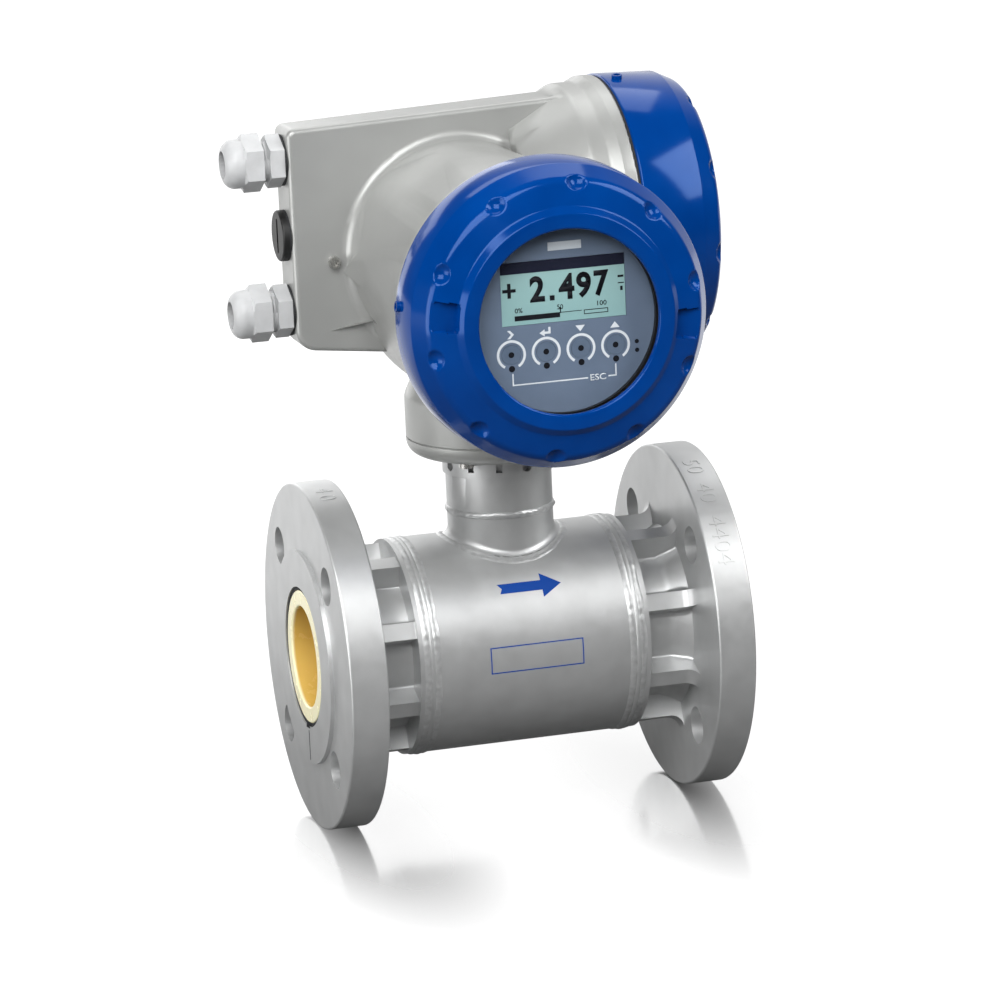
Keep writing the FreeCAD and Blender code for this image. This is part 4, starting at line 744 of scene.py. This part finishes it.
for node in ("inlet_flange", "outlet_flange", "coil_casing", "neck_tube", "neck_collar",
             "measuring_tube", "inlet_seal_ring", "outlet_seal_ring", "converter_base",
             "base_screws", "lock_screw", "window_glass", "window_ring", "window_seal",
             "front_cover_seal", "side_cover_seal", "blind_plug", "blind_plug_washer",
             "signal_lead"):
    skin(node)
skin("converter_housing", flatness=0, weight=50, degrees=19, stray=pokes_through_channel)
for entry in GLANDS:
    for part in ("washer", "body", "insert", "nut"):
        skin(f"{entry}_{part}", degrees=20)
for node in ("front_cover_screw", "side_cover_screw"):
    skin(node, made[blue_coat])

# Covers: radius, height and round of each corner, then the pressed face, turn and place

cover("front_cover", [
    (61.8, 0), (70.4, 0, 1), (69.4, 22.5), (63.5, 33, 6), (52, 36.3), (49, 39.2, 1.2),
    (42, 39.2, 1.2), (42, 36.8), (46, 36.8), (46, 29.5), (55, 29.5), (55, 16), (61.8, 16),
], 36.3, -6.8, lambda own: Vector((own.x, cover_rim.y - own.z, cover_rim.z + own.y)))
cover("side_cover", [
    (0, 34.5), (55, 34.5), (55, 16), (61.8, 16), (61.8, 0), (69, 0, 1), (68, 28.5), (63.5, 38, 6),
    (52, 41.3), (49, 39.5, 1.2), (0, 39.5),
], 41.3, 9, lambda own: Vector((side_rim.x + own.z, side_rim.y + own.y, side_rim.z - own.x)))


# Weld beads

def round_flow(x):
    """Path round the casing at a place along the flow."""
    def path(t):
        out = Vector((0, -math.cos(math.tau * t), math.sin(math.tau * t)))
        return Vector((x, 0, 0)) + out * CASING_RADIUS, Vector((1, 0, 0)), out
    return path


def round_neck(z):
    """Level path round the neck tube."""
    def path(t):
        out = Vector((math.sin(math.tau * t), -math.cos(math.tau * t), 0))
        return Vector((0, 0, z)) + out * NECK_RADIUS, Vector((0, 0, 1)), out
    return path


def round_saddle(radius):
    """Path on the casing where the fillet of the neck runs out."""
    def path(t):
        x, y = radius * math.sin(math.tau * t), -radius * math.cos(math.tau * t)
        z = math.sqrt(CASING_RADIUS ** 2 - y * y)
        out = Vector((0, y, z)) / CASING_RADIUS
        side = Vector((x, y, 0)) / radius
        return Vector((x, y, z)), (side - out * side.dot(out)).normalized(), out
    return path


for side in (-1, 1):
    for place, offset, ripples in (("inner", 48.2 * MM, 80), ("outer", 52.4 * MM, 74)):
        bead(f"casing_weld_{place}_{side + 1}", round_flow(side * offset), 300, 4 * MM, 0.6 * MM,
             ripples)
bead("neck_ring_weld", round_neck(63.5 * MM), 200, 3.4 * MM, 0.95 * MM, 40)
bead("neck_saddle_weld", round_saddle(29.4 * MM), 240, 3.4 * MM, 0.45 * MM, 50)


# Marks on the sensor, and the painted shade of its earth groove

arrow = bmesh.new()
arrow_rise = 34.9 * MM
plates(arrow, [
    [(-13.6 * MM, -2.5 * MM), (7 * MM, -2.5 * MM), (7 * MM, 2.5 * MM), (-14.4 * MM, 2.5 * MM),
     (-12.4 * MM, 0)],
    [(7 * MM, -6.2 * MM), (16.6 * MM, 0), (7 * MM, 6.2 * MM)],
], PLATE_RISE)
slice_across(arrow, 1, STRIP_WIDTH)
lay(arrow, lambda x, y, z: on_casing(x, y + arrow_rise, z))
add_piece("flow_arrow", arrow, blue_ink, "root")

mark_box = bmesh.new()
plates(mark_box, frame_bars(-22.3 * MM, -5.2 * MM, 23.2 * MM, 7.5 * MM, 0.55 * MM), PLATE_RISE)
slice_across(mark_box, 1, STRIP_WIDTH)
lay(mark_box, on_casing)
add_piece("casing_mark_box", mark_box, blue_ink, "root")

for name, text, start, middle, length in (
        ("outlet_rim_numbers", "50  40  4404", 75, 88.5 * MM, 66 * MM),
        ("inlet_rim_numbers", "4 0", 84, -88.5 * MM, 13 * MM)):
    stamp = bmesh.new()
    lettering(stamp, text, 8 * MM, length, (length / 2, 0), -0.015, 0.25 * MM)
    slice_across(stamp, 0, 2 * MM)
    lay(stamp, on_rim(start, middle))
    smooth(add_piece(name, stamp, made[blasted_steel], "root", "sensor_steel"), 20)

# Painted shade: dark plates on the inlet's raised face, standing in for the shadow in its earth
# groove.
groove = bmesh.new()
plates(groove, [
    bar(-4.5 * MM, -49.5 * MM, -3.6 * MM, -35 * MM),
    [(-6.5 * MM, -33.6 * MM), (0.5 * MM, -34.4 * MM), (-0.5 * MM, -32.3 * MM),
     (-2.5 * MM, -31.2 * MM), (-5 * MM, -31.6 * MM)],
], PLATE_RISE)
lay(groove, on_end)
add_piece("earth_groove_shade", groove, black_ink_and_groove_shade, "root")


# Threads in the gap between gland body and nut

def thread_ridge(entry):
    """Moulded thread that shows when a gland nut is unscrewed."""
    body_low, body_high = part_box(f"{entry}_body")
    axis = (body_low + body_high) / 2
    start, pitch, turns, steps = body_high.x - 14.6 * MM, 1.5 * MM, 6, 40
    root, crest = 9.4 * MM, 9.72 * MM

    def place(i, j):
        """Corner of the ridge: low flank, crest, high flank."""
        angle = math.tau * i / steps
        radius = (root, crest, crest, root)[j]
        x = start - pitch * (i / steps + (-0.4, -0.1, 0.1, 0.4)[j])
        return Vector((x, axis.y + radius * math.cos(angle), axis.z + radius * math.sin(angle)))

    ridge = bmesh.new()
    mapped_grid(ridge, turns * steps, 3, place)
    bmesh.ops.recalc_face_normals(ridge, faces=ridge.faces)
    smooth(add_piece(f"{entry}_thread", ridge, made[grey_polyamide], "root", "gland_plastic"), 25)


for entry in GLANDS:
    thread_ridge(entry)


# Display: what the screen shows and what is printed on the panel

screen_top = screen_high.z - drum_axis.z
key_level = (keys_low.z + keys_high.z) / 2 - drum_axis.z
keys_middle = (keys_low.x + keys_high.x) / 2
key_pitch, ring_radius, ring_stroke, ring_gap = 16.3 * MM, 6.8 * MM, 1.15 * MM, 62
key_places = [keys_middle + key_pitch * k for k in (-1.5, -0.5, 0.5, 1.5)]

header = bmesh.new()
plates(header, [bar(screen_low.x, screen_top - 5.2 * MM, screen_high.x, screen_top)], PLATE_RISE)
lay(header, on_face(screen_low.y))
add_piece("screen_header", header, header_ink, "root")

reading = bmesh.new()
for digit, left, width in (("2", -15.1, 7), ("4", -1.6, 7.4), ("9", 6.7, 7), ("7", 15, 7)):
    lettering(reading, digit, 11.8 * MM, width * MM, ((left + width / 2) * MM, 14.4 * MM), 0.035,
              PLATE_RISE)
plates(reading, [
    bar(-27.8 * MM, 13.9 * MM, -21.6 * MM, 15.4 * MM),
    bar(-25.5 * MM, 15.4 * MM, -23.9 * MM, 18 * MM),
    bar(-25.5 * MM, 11.3 * MM, -23.9 * MM, 13.9 * MM),
    bar(-5.9 * MM, 8.6 * MM, -3.6 * MM, 10.9 * MM),
    bar(-22.6 * MM, 0.7 * MM, -1.4 * MM, 3 * MM),
    bar(-1.4 * MM, 2.6 * MM, -0.9 * MM, 5.2 * MM),
    bar(-0.9 * MM, 2.7 * MM, 8.8 * MM, 3 * MM),
    bar(26.2 * MM, 13.4 * MM, 29 * MM, 13.9 * MM),
    bar(26.2 * MM, 16.2 * MM, 29 * MM, 17.2 * MM),
    bar(27.2 * MM, 10.2 * MM, 28.4 * MM, 12.2 * MM),
] + frame_bars(9.8 * MM, 0.9 * MM, 21.2 * MM, 3 * MM, 0.35 * MM), PLATE_RISE)
for text, across, width in (("0%", -20.6, 3.6), ("50", -1.2, 2.8), ("100", 18.4, 4.4)):
    lettering(reading, text, 2.2 * MM, width * MM, (across * MM, 5.4 * MM), 0.01, PLATE_RISE)
lay(reading, on_face(screen_low.y))
add_piece("screen_reading", reading, black_ink_and_groove_shade, "root")

badge = bmesh.new()
plates(badge, [bar(-6 * MM, 31.2 * MM, 9.6 * MM, 35 * MM)], PLATE_RISE)
lay(badge, on_face(panel_low.y))
add_piece("panel_badge", badge, pale_ink, "root")

marks = bmesh.new()
symbols = key_level + 9.2 * MM
for across in key_places:
    plates(marks, open_ring(across, key_level, ring_radius, ring_stroke, ring_gap), PLATE_RISE)
first, second, third, fourth = key_places
plates(marks, [
    [(first - 1.6 * MM, symbols + 1.9 * MM), (first - 0.2 * MM, symbols + 1.9 * MM),
     (first + 1.6 * MM, symbols), (first + 0.2 * MM, symbols)],
    [(first - 1.6 * MM, symbols - 1.9 * MM), (first + 0.2 * MM, symbols),
     (first + 1.6 * MM, symbols), (first - 0.2 * MM, symbols - 1.9 * MM)],
    [(second - 2.8 * MM, symbols - 0.6 * MM), (second - 0.4 * MM, symbols - 2.2 * MM),
     (second - 0.4 * MM, symbols + 1 * MM)],
    bar(second - 0.4 * MM, symbols - 1.1 * MM, second + 2.4 * MM, symbols - 0.1 * MM),
    bar(second + 1.4 * MM, symbols - 0.1 * MM, second + 2.4 * MM, symbols + 1.9 * MM),
    [(third - 2.2 * MM, symbols + 1.3 * MM), (third, symbols - 1.5 * MM),
     (third + 2.2 * MM, symbols + 1.3 * MM)],
    [(fourth - 2.2 * MM, symbols - 1.3 * MM), (fourth + 2.2 * MM, symbols - 1.3 * MM),
     (fourth, symbols + 1.5 * MM)],
], PLATE_RISE)
escape_level = key_level - 14.2 * MM
plates(marks, [
    bar(first, escape_level, first + 0.6 * MM, key_level - 8.6 * MM),
    bar(first + 0.6 * MM, escape_level, 10.4 * MM, escape_level + 0.6 * MM),
    bar(20 * MM, escape_level, fourth - 0.6 * MM, escape_level + 0.6 * MM),
    bar(fourth - 0.6 * MM, escape_level, fourth, key_level - 8.6 * MM),
], PLATE_RISE)
lettering(marks, "ESC", 2.9 * MM, 7.4 * MM, (15.2 * MM, escape_level + 0.3 * MM), 0.01, PLATE_RISE)
lay(marks, on_face(panel_low.y))
add_piece("panel_print", marks, white_ink, "root")

sensors = bmesh.new()
plates(sensors, [disc(across, key_level, 1.35 * MM) for across in key_places]
       + [disc(across, key_level - 6.4 * MM, 1.45 * MM) for across in key_places]
       + [disc(34 * MM, key_level + 0.6 * MM, 1 * MM), disc(34 * MM, key_level - 3.4 * MM, 1 * MM)],
       PLATE_RISE)
lay(sensors, on_face(panel_low.y))
add_piece("panel_sensors", sensors, black_ink_and_groove_shade, "root")
